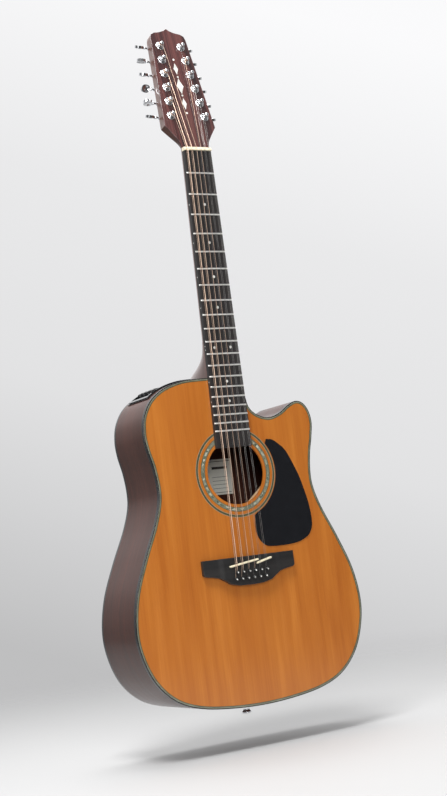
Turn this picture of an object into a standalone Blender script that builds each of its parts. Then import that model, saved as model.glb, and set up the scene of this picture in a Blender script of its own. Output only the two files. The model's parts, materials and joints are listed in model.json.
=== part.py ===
"""A twelve-string acoustic guitar with a cutaway, built from its separate pieces.

Metres throughout. +Z runs up the neck, -Y is the front, +X is the treble side.
The origin is the middle of the body's tail edge, in the plane of the soundboard's face.
"""

import math

import bmesh
import bpy
from mathutils import Matrix, Vector

MM = 0.001
GAP = 0.3 * MM  # left between two pieces that touch

# Scale and neck
SCALE_LENGTH = 644 * MM
FRET_COUNT = 20
BODY_FRET = 14  # the neck meets the body at this fret
BODY_LENGTH = 499.5 * MM
NUT_HALF_WIDTH = 23.9 * MM
FRETBOARD_TAPER = 6.5 / 441.2  # growth in half-width per length down the board
FRETBOARD_LENGTH = 466.8 * MM
FRETBOARD_TOP = -8.0 * MM
FRETBOARD_RADIUS = 400 * MM
FRET_HEIGHT = 1.0 * MM
FRET_WIDTH = 2.4 * MM
NUT_LENGTH = 5.5 * MM
NUT_TOP = -10.6 * MM

# Body box
SOUNDBOARD_THICKNESS = 2.8 * MM
BACK_THICKNESS = 2.5 * MM
SIDE_THICKNESS = 2.2 * MM
DEPTH_AT_TAIL = 129.4 * MM  # at the rim, where the body is widest
DEPTH_SLOPE = 0.0653
BACK_ARCH_RADIUS = 4500 * MM
WIDEST_HALF = 198 * MM
LINING_DEPTH = 12 * MM
LINING_THICKNESS = 6 * MM
INSIDE = SOUNDBOARD_THICKNESS + GAP  # depth at which pieces under the soundboard start

# Distance from the centre line and height above the tail, up the bass half
HALF_OUTLINE = (
    (0, 0), (58, 3), (108, 11), (146, 27), (175, 56), (192, 94), (197.8, 135),
    (190, 185), (170, 236), (148, 283), (137, 316), (135.2, 340), (139, 370),
    (146, 398), (148.3, 422), (144, 447), (130, 470), (107, 486.5), (75, 496.5),
    (38, 499.2), (0, 499.5),
)
# The treble half leaves the bass half's shape here and runs over the horn to the neck
TREBLE_LEAVES_AT = 14
CUTAWAY_OUTLINE = (
    (149.6, 419), (146.5, 438), (137, 451.5), (124, 455.2), (110, 450), (91, 438),
    (71, 432.4), (51, 438), (38.5, 449.5), (34.3, 465), (32.6, 482), (32, 499.5),
)
OUTLINE_STEPS = 2  # straight facets between one outline point and the next
ROUND_FACETS = 32  # round the soundhole and the rosette

# Blocks: half-widths to the bass and treble sides, then lowest and highest point
NECK_BLOCK = (36 * MM, 29 * MM, 438 * MM, 520 * MM)
TAIL_BLOCK = (40 * MM, 40 * MM, -5 * MM, 22 * MM)

# Braces under the soundboard, in millimetres: the two ends, width and depth, then the depth and
# length of the carved ends
X_BRACE_BASS_HIGH = ((-119, 380), (176, 132.5), 7.5, 14, 3, 34)
X_BRACE_TREBLE_HIGH = ((119, 380), (-176, 132.5), 7.5, 14, 3, 34)
UPPER_BRACE = ((-128, 416), (128, 416), 10, 15, 5, 22)
TONE_BAR_1 = ((-78, 92), (112, 138), 6, 10, 2.5, 26)
TONE_BAR_2 = ((-70, 54), (118, 99), 6, 9, 2.5, 26)
BRIDGE_PLATE_THICKNESS = 2.4 * MM
BRIDGE_PLATE_OUTLINE = ((-58, 219), (-78, 184), (78, 184), (58, 219))

# Braces across the back: height, half length, width and depth in millimetres
BACK_BRACES = ((75, 155, 9, 12), (178, 175, 9, 12), (292, 128, 7, 15), (408, 126, 7, 15))
BACK_BRACE_END = 4 * MM
BACK_STRIP_HALF_WIDTH = 9 * MM
BACK_STRIP_THICKNESS = 2 * MM
BACK_STRIP_ENDS = (27 * MM, 430 * MM)

# Soundhole and rosette
SOUNDHOLE_HEIGHT = 351.6 * MM
SOUNDHOLE_RADIUS = 49 * MM
ROSETTE_INNER = 53.5 * MM
ROSETTE_OUTER = 69.1 * MM
ROSETTE_THICKNESS = 0.8 * MM

# Bridge: two rows of holes, and a saddle for each group of strings
BRIDGE_HALF_OUTLINE = (
    (80, 223.5), (80, 202), (77, 199.5), (63, 197.5), (53, 195), (44, 190), (36, 184.5), (20, 180.8),
)
BRIDGE_TOP = -9.0 * MM
SADDLE_TOP = -12.2 * MM
SADDLE_WIDTH = 3.0 * MM
SADDLE_SLOT_DEPTH = 3.6 * MM
LONG_SADDLE = ((-36.5, 210.0), (14.3, 216.8))
SHORT_SADDLE = ((10.6, 211.1), (37.5, 217.3))
PIN_HOLE_RADIUS = 2.4 * MM
PIN_ROWS = (190.5 * MM, 200.5 * MM)  # lower row, upper row
PIN_STAGGER = 1.7 * MM
COURSE_SPACING = 10.5 * MM
COURSE_SPACING_AT_NUT = 7.9 * MM
PAIR_HALF_AT_SADDLE = 1.25 * MM
PAIR_HALF_AT_NUT = 1.0 * MM
COURSES = 6

# Pickguard, from the rosette's upper right round to its lower right
PICKGUARD_THICKNESS = 1.1 * MM
PICKGUARD_OUTLINE = (
    (60.5, 398.5), (70.7, 397), (82, 389.5), (93, 378.5), (103, 358.5), (111, 339.5), (118, 315.5),
    (123, 293.5), (125, 273.5), (124, 257.5), (117.5, 245.5), (108, 239.5), (97, 235.5), (82, 233.5),
    (65, 233), (50, 233.5), (38, 235.5), (29, 243), (24, 253), (22.5, 265.5), (24, 283.5),
)

# Strings, and the block that stands for their ball ends under the bridge plate
STRING_RADIUS = 0.4 * MM
BALL_END_BLOCK = ((-32 * MM, 7 * MM, 187 * MM), (32 * MM, 9 * MM, 204 * MM))

# Neck joint, heel and truss rod
TENON_NARROW = 10 * MM
TENON_WIDE = 14 * MM
TENON_LENGTH = 21 * MM
TENON_DEPTH = 78 * MM
HEEL_FACE = BODY_LENGTH + GAP
HEEL_CAP = 94 * MM
ROD_DEPTHS = (3.6 * MM, 9.8 * MM)
ROD_HALF_WIDTH = 3.0 * MM
# Distance above the body joint and depth of the neck's back there
NECK_DEPTHS = (
    (0, 112), (7, 103), (14, 86), (21, 66), (29, 46), (39, 31), (54, 21.5), (76, 17.5), (357.4, 16),
)

# Headstock, in its own plane: u across, w up the head, h out of its face
HEAD_TILT = math.radians(12.7)
HEAD_FACE_AT_NUT = -3.8 * MM
HEAD_THICKNESS = 16 * MM
HEADPLATE_THICKNESS = 2.5 * MM
HEAD_HALF_OUTLINE = (
    (24.0, 7.2), (25.3, 13.5), (28.3, 20.5), (33.0, 28), (39.0, 36.5), (45.0, 45),
    (31.6, 206), (29.6, 212.5), (24.0, 216), (13.0, 218), (5.5, 221), (0, 225),
)

# Tuners: a worm on the button's shaft turns a gear on the post
TUNERS_A_SIDE = 6
FIRST_POST = 62.7 * MM
POST_PITCH = 25.67 * MM
POST_HALF_SPACING = (29.9 * MM, 18.8 * MM)  # nearest the nut, nearest the tip
HEAD_EDGE_LEAN = math.radians(4.7)
POST_RADIUS = 3.0 * MM
POST_ABOVE_FACE = 11 * MM
GEAR_TEETH = 14
GEAR_RADIUS = 5.0 * MM
GEAR_TIP = 5.5 * MM
GEAR_ROOT = 4.1 * MM
GEAR_HALF_WIDTH = 1.2 * MM
WORM_CENTRE = 7.2 * MM
WORM_ROOT = 1.5 * MM
WORM_TIP = 2.8 * MM
WORM_PITCH = 2 * math.pi * GEAR_RADIUS / GEAR_TEETH
WORM_TURNS = 2
WORM_STEPS = 8  # flats in each turn
TUNER_DEPTH = -20.6 * MM  # height of the gear and the shaft, behind the head's face
POST_BORE = 4.2 * MM
BUTTON_HALF_THICKNESS = 2.2 * MM
# Along the shaft from the post and half-width of the button there
BUTTON_HALF_OUTLINE = ((18.5, 2.4), (20.5, 4.6), (24, 6.2), (28.5, 6.4), (32, 5), (33.5, 2.2))
# Corners of a tuner's case, across and along the head's edge from its post
HOUSING_LOW = (-7.6 * MM, -7.6 * MM)
HOUSING_HIGH = (7.6 * MM, 11.8 * MM)
HOUSING_HALF_HEIGHT = 4.3 * MM
HOUSING_WALL = 1.1 * MM
# How far each button is turned about its shaft, from the nut to the tip
BUTTON_ROLL = {
    "bass": (120, 84, 30, 118, 106, 122),
    "treble": (124, 130, 120, 128, 122, 126),
}

# Preamp in the bass side's shoulder, placed by distance along the side from the tail
PREAMP_SPAN = (633 * MM, 718 * MM)
PREAMP_DEPTHS = (16 * MM, 86 * MM)
PREAMP_PROUD = 3.0 * MM
KNOB_STATION = 654 * MM
KNOB_DEPTHS = (30 * MM, 44 * MM, 58 * MM, 72 * MM)
KNOB_NAMES = ("volume", "bass", "middle", "treble")
TUNER_BUTTON_STATION = 676 * MM
TUNER_BUTTON_DEPTH = 34 * MM
BATTERY_STATION = 700 * MM
BATTERY_DEPTH = 51 * MM
BATTERY_SIZE = (17.2 * MM, 26.2 * MM, 48.4 * MM)
BATTERY_TOP = -4.5 * MM
PREAMP_RIM = 4.5 * MM
PREAMP_WALL = 1.0 * MM
# Half sizes, and how far in and out, of the battery's room in the case and of the box round it
BATTERY_ROOM = (10.6 * MM, 15.2 * MM, (-54.5 * MM, 12 * MM))
BATTERY_BAY = (12.2 * MM, 16.6 * MM, (-56 * MM, -8 * MM))

KNOB_BORE = 3.0 * MM
BUTTON_BORE = 3.6 * MM
# Half profiles turned about a control's axis, in millimetres: radius and distance out of the panel
KNOB_PROFILE = ((0, 4.5), (4.4, 4.5), (5.2, -2.8), (2.2, -2.8), (2.2, -12), (0, -12))
BUTTON_PROFILE = ((0, -0.5), (3.0, -0.5), (3.0, -12), (0, -12))

# Socket for the lead at the tail: radius and height, in millimetres
JACK_DEPTH = 58 * MM
JACK_BORE = 5.8 * MM
JACK_PROFILE = (
    (0, 34), (5.2, 34), (5.2, -0.3), (8.5, -0.3), (8.5, -1.8), (5.4, -3.6),
    (5.2, -9), (7.4, -12), (6.8, -14), (3.3, -14), (3.3, 26), (0, 26),
)


# ---------------------------------------------------------------- scene and materials

for old in list(bpy.data.objects):
    bpy.data.objects.remove(old)

GUITAR = bpy.data.collections.new("twelve_string_guitar")
WORKSHOP = bpy.data.collections.new("workshop")
bpy.context.scene.collection.children.link(GUITAR)
bpy.context.scene.collection.children.link(WORKSHOP)


def material(name, colour, roughness, metallic=0.0):
    made = bpy.data.materials.new(name)
    made.use_nodes = True
    shader = made.node_tree.nodes["Principled BSDF"]
    shader.inputs["Base Color"].default_value = (*colour, 1)
    shader.inputs["Roughness"].default_value = roughness
    shader.inputs["Metallic"].default_value = metallic
    made.diffuse_color = (*colour, 1)
    return made


AMBER_SPRUCE = material("amber_spruce", (0.62, 0.27, 0.06), 0.2)
BARE_SPRUCE = material("bare_spruce", (0.66, 0.5, 0.3), 0.7)
RED_MAHOGANY = material("red_mahogany", (0.16, 0.05, 0.035), 0.2)
BARE_MAHOGANY = material("bare_mahogany", (0.35, 0.18, 0.1), 0.7)
ROSEWOOD = material("rosewood", (0.05, 0.025, 0.02), 0.45)
BLACK_PLASTIC = material("black_plastic", (0.012, 0.012, 0.013), 0.3)
BONE = material("bone", (0.8, 0.76, 0.62), 0.4)
PEARL = material("pearl", (0.45, 0.5, 0.45), 0.25)
CHROME = material("chrome", (0.75, 0.76, 0.78), 0.12, 1.0)
STEEL = material("steel", (0.5, 0.5, 0.52), 0.35, 1.0)
BRASS = material("brass", (0.6, 0.42, 0.15), 0.35, 1.0)
BRONZE = material("bronze", (0.62, 0.4, 0.2), 0.35, 1.0)


# ---------------------------------------------------------------- solid-making helpers

def keep_shape(obj):
    """Turns the object's modifiers into its mesh."""
    graph = bpy.context.evaluated_depsgraph_get()
    shaped = bpy.data.meshes.new_from_object(obj.evaluated_get(graph))
    obj.modifiers.clear()
    obj.data = shaped
    return obj


def from_bmesh(bm):
    bmesh.ops.recalc_face_normals(bm, faces=bm.faces)
    mesh = bpy.data.meshes.new("blank")
    bm.to_mesh(mesh)
    bm.free()
    obj = bpy.data.objects.new("blank", mesh)
    WORKSHOP.objects.link(obj)
    return obj


def tidy(obj, place=None):
    """Welds loose caps, turns the faces outwards and, if a place is given, moves the mesh there."""
    bm = bmesh.new()
    bm.from_mesh(obj.data)
    bmesh.ops.remove_doubles(bm, verts=bm.verts, dist=1e-6)
    if place is not None:
        bmesh.ops.transform(bm, matrix=place, verts=bm.verts)
    bmesh.ops.recalc_face_normals(bm, faces=bm.faces)
    bm.to_mesh(obj.data)
    bm.free()
    return obj


def box(low, high, place=Matrix()):
    centre = (Vector(low) + Vector(high)) / 2
    size = Vector(high) - Vector(low)
    bm = bmesh.new()
    shape = place @ Matrix.Translation(centre) @ Matrix.Diagonal((*size, 1))
    bmesh.ops.create_cube(bm, size=1, matrix=shape)
    return from_bmesh(bm)


def rod(start, end, radius, segments, place=Matrix()):
    start, end = Vector(start), Vector(end)
    turn = (end - start).to_track_quat("Z", "Y").to_matrix().to_4x4()
    shape = place @ Matrix.Translation((start + end) / 2) @ turn
    bm = bmesh.new()
    bmesh.ops.create_cone(
        bm, cap_ends=True, segments=segments, radius1=radius, radius2=radius,
        depth=(end - start).length, matrix=shape,
    )
    return from_bmesh(bm)


def slab(loops, low, high, place):
    """A flat outline with its holes, from low to high along the place's own Z."""
    curve = bpy.data.curves.new("outline", "CURVE")
    curve.dimensions = "2D"
    curve.fill_mode = "BOTH"
    curve.extrude = (high - low) / 2
    for loop in loops:
        spline = curve.splines.new("POLY")
        spline.points.add(len(loop) - 1)
        for point, (a, b) in zip(spline.points, loop):
            point.co = (a, b, 0, 1)
        spline.use_cyclic_u = True
    guide = bpy.data.objects.new("outline", curve)
    WORKSHOP.objects.link(guide)
    graph = bpy.context.evaluated_depsgraph_get()
    obj = bpy.data.objects.new("blank", bpy.data.meshes.new_from_object(guide.evaluated_get(graph)))
    WORKSHOP.objects.link(obj)
    bpy.data.objects.remove(guide)
    return tidy(obj, place @ Matrix.Translation((0, 0, (low + high) / 2)))


def turned(profile, segments, place=Matrix()):
    """A profile of (radius, height), down its outer side, turned about the place's own Z."""
    mesh = bpy.data.meshes.new("profile")
    points = [(radius, 0, height) for radius, height in profile]
    mesh.from_pydata(points, [(i, i + 1) for i in range(len(points) - 1)], [])
    obj = bpy.data.objects.new("blank", mesh)
    WORKSHOP.objects.link(obj)
    screw = obj.modifiers.new("Turn", "SCREW")
    screw.axis = "Z"
    screw.steps = segments
    screw.render_steps = segments
    screw.use_merge_vertices = True
    screw.merge_threshold = 1e-6
    return tidy(keep_shape(obj), place)


def loft(sections):
    """A closed solid through sections that have the same number of points."""
    bm = bmesh.new()
    rings = [[bm.verts.new(point) for point in section] for section in sections]
    for near, far in zip(rings, rings[1:]):
        for i in range(len(near)):
            j = (i + 1) % len(near)
            bm.faces.new((near[i], near[j], far[j], far[i]))
    bm.faces.new(rings[0])
    bm.faces.new(rings[-1])
    return from_bmesh(bm)


def wire(points, radius):
    curve = bpy.data.curves.new("wire", "CURVE")
    curve.dimensions = "3D"
    curve.bevel_depth = radius
    curve.bevel_resolution = 1
    curve.use_fill_caps = True
    spline = curve.splines.new("POLY")
    spline.points.add(len(points) - 1)
    for point, place in zip(spline.points, points):
        point.co = (*place, 1)
    guide = bpy.data.objects.new("wire", curve)
    WORKSHOP.objects.link(guide)
    graph = bpy.context.evaluated_depsgraph_get()
    obj = bpy.data.objects.new("blank", bpy.data.meshes.new_from_object(guide.evaluated_get(graph)))
    WORKSHOP.objects.link(obj)
    bpy.data.objects.remove(guide)
    return tidy(obj)


def combine(target, other, operation):
    """Joins (UNION), cuts (DIFFERENCE) or trims (INTERSECT) the target with a solid it uses up."""
    modifier = target.modifiers.new("Combine", "BOOLEAN")
    modifier.operation = operation
    modifier.solver = "EXACT"
    modifier.object = other
    keep_shape(target)
    bpy.data.objects.remove(other)
    return target


def join(target, *others):
    for other in others:
        combine(target, other, "UNION")
    return target


def cut(target, *others):
    for other in others:
        combine(target, other, "DIFFERENCE")
    return target


def gather(solids):
    """Solids that don't touch each other, put into one mesh so that one cut or join takes them all."""
    bm = bmesh.new()
    for solid in solids:
        bm.from_mesh(solid.data)
        bpy.data.objects.remove(solid)
    return from_bmesh(bm)


def part(name, obj, finish, place=None):
    """Names a finished piece. A piece that moves gets a place whose origin is on its axis."""
    obj.name = name
    obj.data.name = name
    obj.data.materials.clear()
    obj.data.materials.append(finish)
    if place is not None:
        obj.matrix_world = place
    obj.data.shade_smooth()
    obj.data.set_sharp_from_angle(angle=math.radians(30))
    WORKSHOP.objects.unlink(obj)
    GUITAR.objects.link(obj)
    return obj


# ---------------------------------------------------------------- outlines

def beyond(end, before):
    """The point past a curve's end: a mirror image on the centre line, or else straight on."""
    if end[0] == 0:
        return (-before[0], before[1])
    return (2 * end[0] - before[0], 2 * end[1] - before[1])


def smooth(points, steps):
    """A Catmull-Rom curve through the points."""
    first = beyond(points[0], points[1])
    last = beyond(points[-1], points[-2])
    padded = [Vector(p) * MM for p in (first, *points, last)]
    curve = []
    for a, b, c, d in zip(padded, padded[1:], padded[2:], padded[3:]):
        for k in range(steps):
            t = k / steps
            curve.append(
                (2 * b + (c - a) * t + (2 * a - 5 * b + 4 * c - d) * t**2
                 + (3 * b - a - 3 * c + d) * t**3) / 2
            )
    curve.append(padded[-2])
    return curve


def offset(path, distance, closed=True):
    """The path moved to its left by distance, with mitred corners."""
    moved = []
    for i, here in enumerate(path):
        behind = here - path[i - 1]
        ahead = path[(i + 1) % len(path)] - here
        if not closed and i == 0:
            behind = ahead
        if not closed and i == len(path) - 1:
            ahead = behind
        one = Vector((-behind.y, behind.x)).normalized()
        two = Vector((-ahead.y, ahead.x)).normalized()
        moved.append(here + distance * (one + two) / (1 + one.dot(two)))
    return moved


def circle(centre, radius, segments):
    turns = [2 * math.pi * k / segments for k in range(segments)]
    return [(centre[0] + radius * math.cos(a), centre[1] + radius * math.sin(a)) for a in turns]


BASS_HALF = [Vector((-p.x, p.y)) for p in smooth(HALF_OUTLINE, OUTLINE_STEPS)]
TREBLE_LOWER = smooth(HALF_OUTLINE, OUTLINE_STEPS)[: (TREBLE_LEAVES_AT - 1) * OUTLINE_STEPS]
CUTAWAY = smooth((HALF_OUTLINE[TREBLE_LEAVES_AT - 2], HALF_OUTLINE[TREBLE_LEAVES_AT - 1])
                 + CUTAWAY_OUTLINE, OUTLINE_STEPS)[OUTLINE_STEPS:]
TREBLE_HALF = TREBLE_LOWER + CUTAWAY + [Vector((0, BODY_LENGTH))]
BODY_LOOP = TREBLE_HALF[:-1] + BASS_HALF[:0:-1]

# Places: the local plane's X, Y and Z as columns
FRONT = Matrix(((1, 0, 0, 0), (0, 0, -1, 0), (0, 1, 0, 0), (0, 0, 0, 1)))


def plate(loops, front, back):
    """A slab parallel to the soundboard, between two depths."""
    return slab(loops, -back, -front, FRONT)


def back_outer(x, z):
    arch = (WIDEST_HALF**2 - x**2) / (2 * BACK_ARCH_RADIUS)
    return DEPTH_AT_TAIL - DEPTH_SLOPE * z + arch


def back_inner(x, z):
    return back_outer(x, z) - BACK_THICKNESS


def reach_back(obj, behind):
    """Moves every point that lies behind a depth onto the back's inner face, less the gap."""
    for vertex in obj.data.vertices:
        if vertex.co.y > behind:
            vertex.co.y = back_inner(vertex.co.x, vertex.co.z) - GAP
    return obj


def lie_on_back(obj, thickness, lift=0.0):
    """Lays a plate made between depths 0 and 1 mm against the back's inner face."""
    for vertex in obj.data.vertices:
        surface = back_inner(vertex.co.x, vertex.co.z) - GAP - lift
        vertex.co.y = surface - (0 if vertex.co.y > 0.5 * MM else thickness)
    return obj


# ---------------------------------------------------------------- body

def course(index):
    """Which course a string is in, and which side of its pair, -1 or +1."""
    return index // 2 - (COURSES - 1) / 2, -1 + 2 * (index % 2)


def pin_place(index):
    middle, side = course(index)
    return middle * COURSE_SPACING + side * PIN_STAGGER, PIN_ROWS[index % 2]


def pin_holes():
    return [circle(pin_place(k), PIN_HOLE_RADIUS, 8) for k in range(2 * COURSES)]


def ring(radius):
    return circle((0, SOUNDHOLE_HEIGHT), radius, ROUND_FACETS)


def soundboard():
    board = plate([BODY_LOOP, ring(SOUNDHOLE_RADIUS), *pin_holes()], 0, SOUNDBOARD_THICKNESS)
    channel = plate(
        [ring(ROSETTE_OUTER + GAP), ring(ROSETTE_INNER - GAP)], -1 * MM, ROSETTE_THICKNESS + GAP
    )
    part("soundboard", cut(board, channel), AMBER_SPRUCE)
    inlay = plate([ring(ROSETTE_OUTER), ring(ROSETTE_INNER)], 0, ROSETTE_THICKNESS)
    part("rosette", inlay, PEARL)


def back_panel():
    strips = 12
    reach = WIDEST_HALF + 12 * MM
    xs = [reach * (2 * k / strips - 1) for k in range(strips + 1)]
    arc = [(x, back_outer(x, 0)) for x in xs]
    under = [(x, y - BACK_THICKNESS) for x, y in reversed(arc)]
    sheet = slab([arc + under], -10 * MM, BODY_LENGTH + 10 * MM, Matrix())
    for vertex in sheet.data.vertices:
        vertex.co.y -= DEPTH_SLOPE * vertex.co.z
    edge = plate([BODY_LOOP], 60 * MM, 180 * MM)
    part("back_panel", combine(sheet, edge, "INTERSECT"), RED_MAHOGANY)


def side_strip(half, sign):
    """One bent side, from the tail joint to the neck joint. Sign is +1 on the treble side."""
    outer = [point.copy() for point in half]
    outer[0].x = outer[-1].x = sign * GAP / 2
    path = outer if sign > 0 else outer[::-1]
    inner = offset(path, SIDE_THICKNESS, closed=False)
    inner[0].x = inner[-1].x = sign * GAP / 2
    strip = plate([path + inner[::-1]], INSIDE, 90 * MM)
    return reach_back(strip, 50 * MM)


def tenon(play):
    """The neck's dovetail, or with play the slot that takes it."""
    end = BODY_LENGTH - TENON_LENGTH
    narrow, wide = TENON_NARROW + play, TENON_WIDE + play
    outline = [
        (-wide, end - play), (wide, end - play),
        (narrow, BODY_LENGTH + 4 * MM), (-narrow, BODY_LENGTH + 4 * MM),
    ]
    front = INSIDE - 2 * play
    return plate([outline], front, TENON_DEPTH + play)


def jack_hole():
    return rod((0, JACK_DEPTH, -5 * MM), (0, JACK_DEPTH, 40 * MM), JACK_BORE, 12)


def sides():
    play = 2 * GAP
    bass = cut(side_strip(BASS_HALF, -1), tenon(play), jack_hole())
    window = curved_box(
        (PREAMP_SPAN[0] + 3 * MM, PREAMP_SPAN[1] - 3 * MM),
        (PREAMP_DEPTHS[0] + 3 * MM, PREAMP_DEPTHS[1] - 3 * MM), (-8 * MM, 8 * MM),
    )
    part("side_bass", cut(bass, window), RED_MAHOGANY)
    treble = cut(side_strip(TREBLE_HALF, 1), tenon(play), jack_hole())
    part("side_treble", treble, RED_MAHOGANY)


def lining_loops(play=0.0):
    outer = SIDE_THICKNESS + GAP
    return [
        offset(BODY_LOOP, outer - play / 2),
        offset(BODY_LOOP, outer + LINING_THICKNESS + play),
    ]


def linings():
    neck_slot = box((-17 * MM, 0, 480 * MM), (17 * MM, 40 * MM, 510 * MM))
    top = plate(lining_loops(), INSIDE, INSIDE + LINING_DEPTH)
    part("lining_top", cut(top, neck_slot), BARE_MAHOGANY)
    back = lie_on_back(plate(lining_loops(), 0, 1 * MM), LINING_DEPTH)
    part("lining_back", back, BARE_MAHOGANY)


def block(to_bass, to_treble, lowest, highest):
    """A solid block inside the sides, rebated for the linings."""
    inner = plate([offset(BODY_LOOP, SIDE_THICKNESS + GAP)], INSIDE, 90 * MM)
    room = box((-to_bass, -5 * MM, lowest), (to_treble, 200 * MM, highest))
    trimmed = combine(inner, room, "INTERSECT")
    reach_back(trimmed, 70 * MM)
    front = plate(lining_loops(2 * GAP), -5 * MM, INSIDE + LINING_DEPTH + GAP)
    back = lie_on_back(plate(lining_loops(2 * GAP), 0, 1 * MM), LINING_DEPTH + 5 * MM, -5 * MM + GAP)
    return cut(trimmed, front, back)


def rod_channel():
    return box(
        (-ROD_HALF_WIDTH - GAP, -5 * MM, 400 * MM),
        (ROD_HALF_WIDTH + GAP, ROD_DEPTHS[1] + GAP, 832 * MM),
    )


def blocks():
    head = block(*NECK_BLOCK)
    part("neck_block", cut(head, tenon(2 * GAP), rod_channel()), BARE_MAHOGANY)
    tail = block(*TAIL_BLOCK)
    part("tail_block", cut(tail, jack_hole()), BARE_MAHOGANY)


def bar(start, end, *sizes):
    """A brace under the soundboard, its ends carved down; all in millimetres."""
    start, end = Vector(start) * MM, Vector(end) * MM
    width, height, end_height, taper = (size * MM for size in sizes)
    along = Vector((end.x - start.x, 0, end.y - start.y))
    length = along.length
    along.normalize()
    up = Vector((0, 1, 0))
    across = along.cross(up)
    place = Matrix.Translation((start.x, INSIDE, start.y)) @ Matrix(
        (along, up, across)
    ).transposed().to_4x4()
    profile = [
        (0, 0), (length, 0), (length, end_height), (length - taper, height),
        (taper, height), (0, end_height),
    ]
    return slab([profile], -width / 2, width / 2, place)


def top_bracing():
    crossed = join(bar(*X_BRACE_BASS_HIGH), bar(*X_BRACE_TREBLE_HIGH))
    part("x_brace", crossed, BARE_SPRUCE)
    rod_notch = box((-5 * MM, -5 * MM, 400 * MM), (5 * MM, 12 * MM, 430 * MM))
    part("upper_brace", cut(bar(*UPPER_BRACE), rod_notch), BARE_SPRUCE)
    part("tone_bar_1", bar(*TONE_BAR_1), BARE_SPRUCE)
    part("tone_bar_2", bar(*TONE_BAR_2), BARE_SPRUCE)
    outline = [(x * MM, z * MM) for x, z in reversed(BRIDGE_PLATE_OUTLINE)]
    shelf = plate([outline, *pin_holes()], INSIDE, INSIDE + BRIDGE_PLATE_THICKNESS)
    part("bridge_plate", shelf, BARE_MAHOGANY)


def back_brace(height, half, width, depth):
    """One arched brace across the back, in millimetres."""
    height, half, width, depth = (v * MM for v in (height, half, width, depth))
    flats = 6
    xs = [half * (2 * k / flats - 1) for k in range(flats + 1)]
    glued = [(x, back_inner(x, height) - GAP) for x in xs]
    inner_edge = [
        (half, BACK_BRACE_END), (half - 30 * MM, depth), (30 * MM - half, depth), (-half, BACK_BRACE_END),
    ]
    free = [(x, back_inner(x, height) - GAP - lift) for x, lift in inner_edge]
    brace = slab([glued + free], height - width / 2, height + width / 2, Matrix())
    for vertex in brace.data.vertices:
        vertex.co.y -= DEPTH_SLOPE * (vertex.co.z - height)
    return brace


def back_bracing():
    half, (low, high) = BACK_STRIP_HALF_WIDTH, BACK_STRIP_ENDS
    outline = [(-half, low), (half, low), (half, high), (-half, high)]
    strip = lie_on_back(plate([outline], 0, 1 * MM), BACK_STRIP_THICKNESS, GAP)
    braces = gather([back_brace(*sizes) for sizes in BACK_BRACES])
    part("back_bracing", join(strip, braces), BARE_SPRUCE)


def endpin_jack():
    place = Matrix.Translation((0, JACK_DEPTH, 0))
    barrel = turned([(r * MM, h * MM) for r, h in JACK_PROFILE], 14, place)
    part("endpin_jack", barrel, CHROME)


# ---------------------------------------------------------------- preamp

def station(distance):
    """Place on the bass side at a distance along it from the tail: X along, Y inwards, Z outwards."""
    for near, far in zip(BASS_HALF, BASS_HALF[1:]):
        step = (far - near).length
        if distance <= step:
            break
        distance -= step
    here = near.lerp(far, distance / step)
    along = (far - near).normalized()
    outward = Vector((-along.y, along.x))
    return here, outward


def smooth_station(distance):
    """The station with its normal averaged over a short stretch, so that bent boxes have no kinks."""
    reach = 9 * MM
    here, _ = station(distance)
    total = Vector((0, 0))
    for k in range(-4, 5):
        total += station(distance + reach * k / 4)[1]
    return here, total.normalized()


def curved_box(span, depths, heights):
    """A box bent along the bass side: span along it, depths into the body, heights off it."""
    count = 8
    stops = [span[0] + (span[1] - span[0]) * k / (count - 1) for k in range(count)]
    places = [smooth_station(stop) for stop in stops]
    outer = [here + outward * heights[1] for here, outward in places]
    inner = [here + outward * heights[0] for here, outward in places]
    return plate([outer + inner[::-1]], *depths)


def panel_place(distance, depth):
    """A frame on the preamp's panel: X along the side, Y into the body, Z outwards."""
    here, outward = smooth_station(distance)
    z_axis = Vector((outward.x, 0, outward.y))
    y_axis = Vector((0, 1, 0))
    x_axis = y_axis.cross(z_axis)
    turn = Matrix((x_axis, y_axis, z_axis)).transposed().to_4x4()
    return Matrix.Translation((here.x, depth, here.y)) @ turn


def bay_box(half_along, half_deep, heights):
    place = panel_place(BATTERY_STATION, BATTERY_DEPTH)
    low = (-half_along, -half_deep, heights[0])
    high = (half_along, half_deep, heights[1])
    return box(low, high, place)


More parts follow.
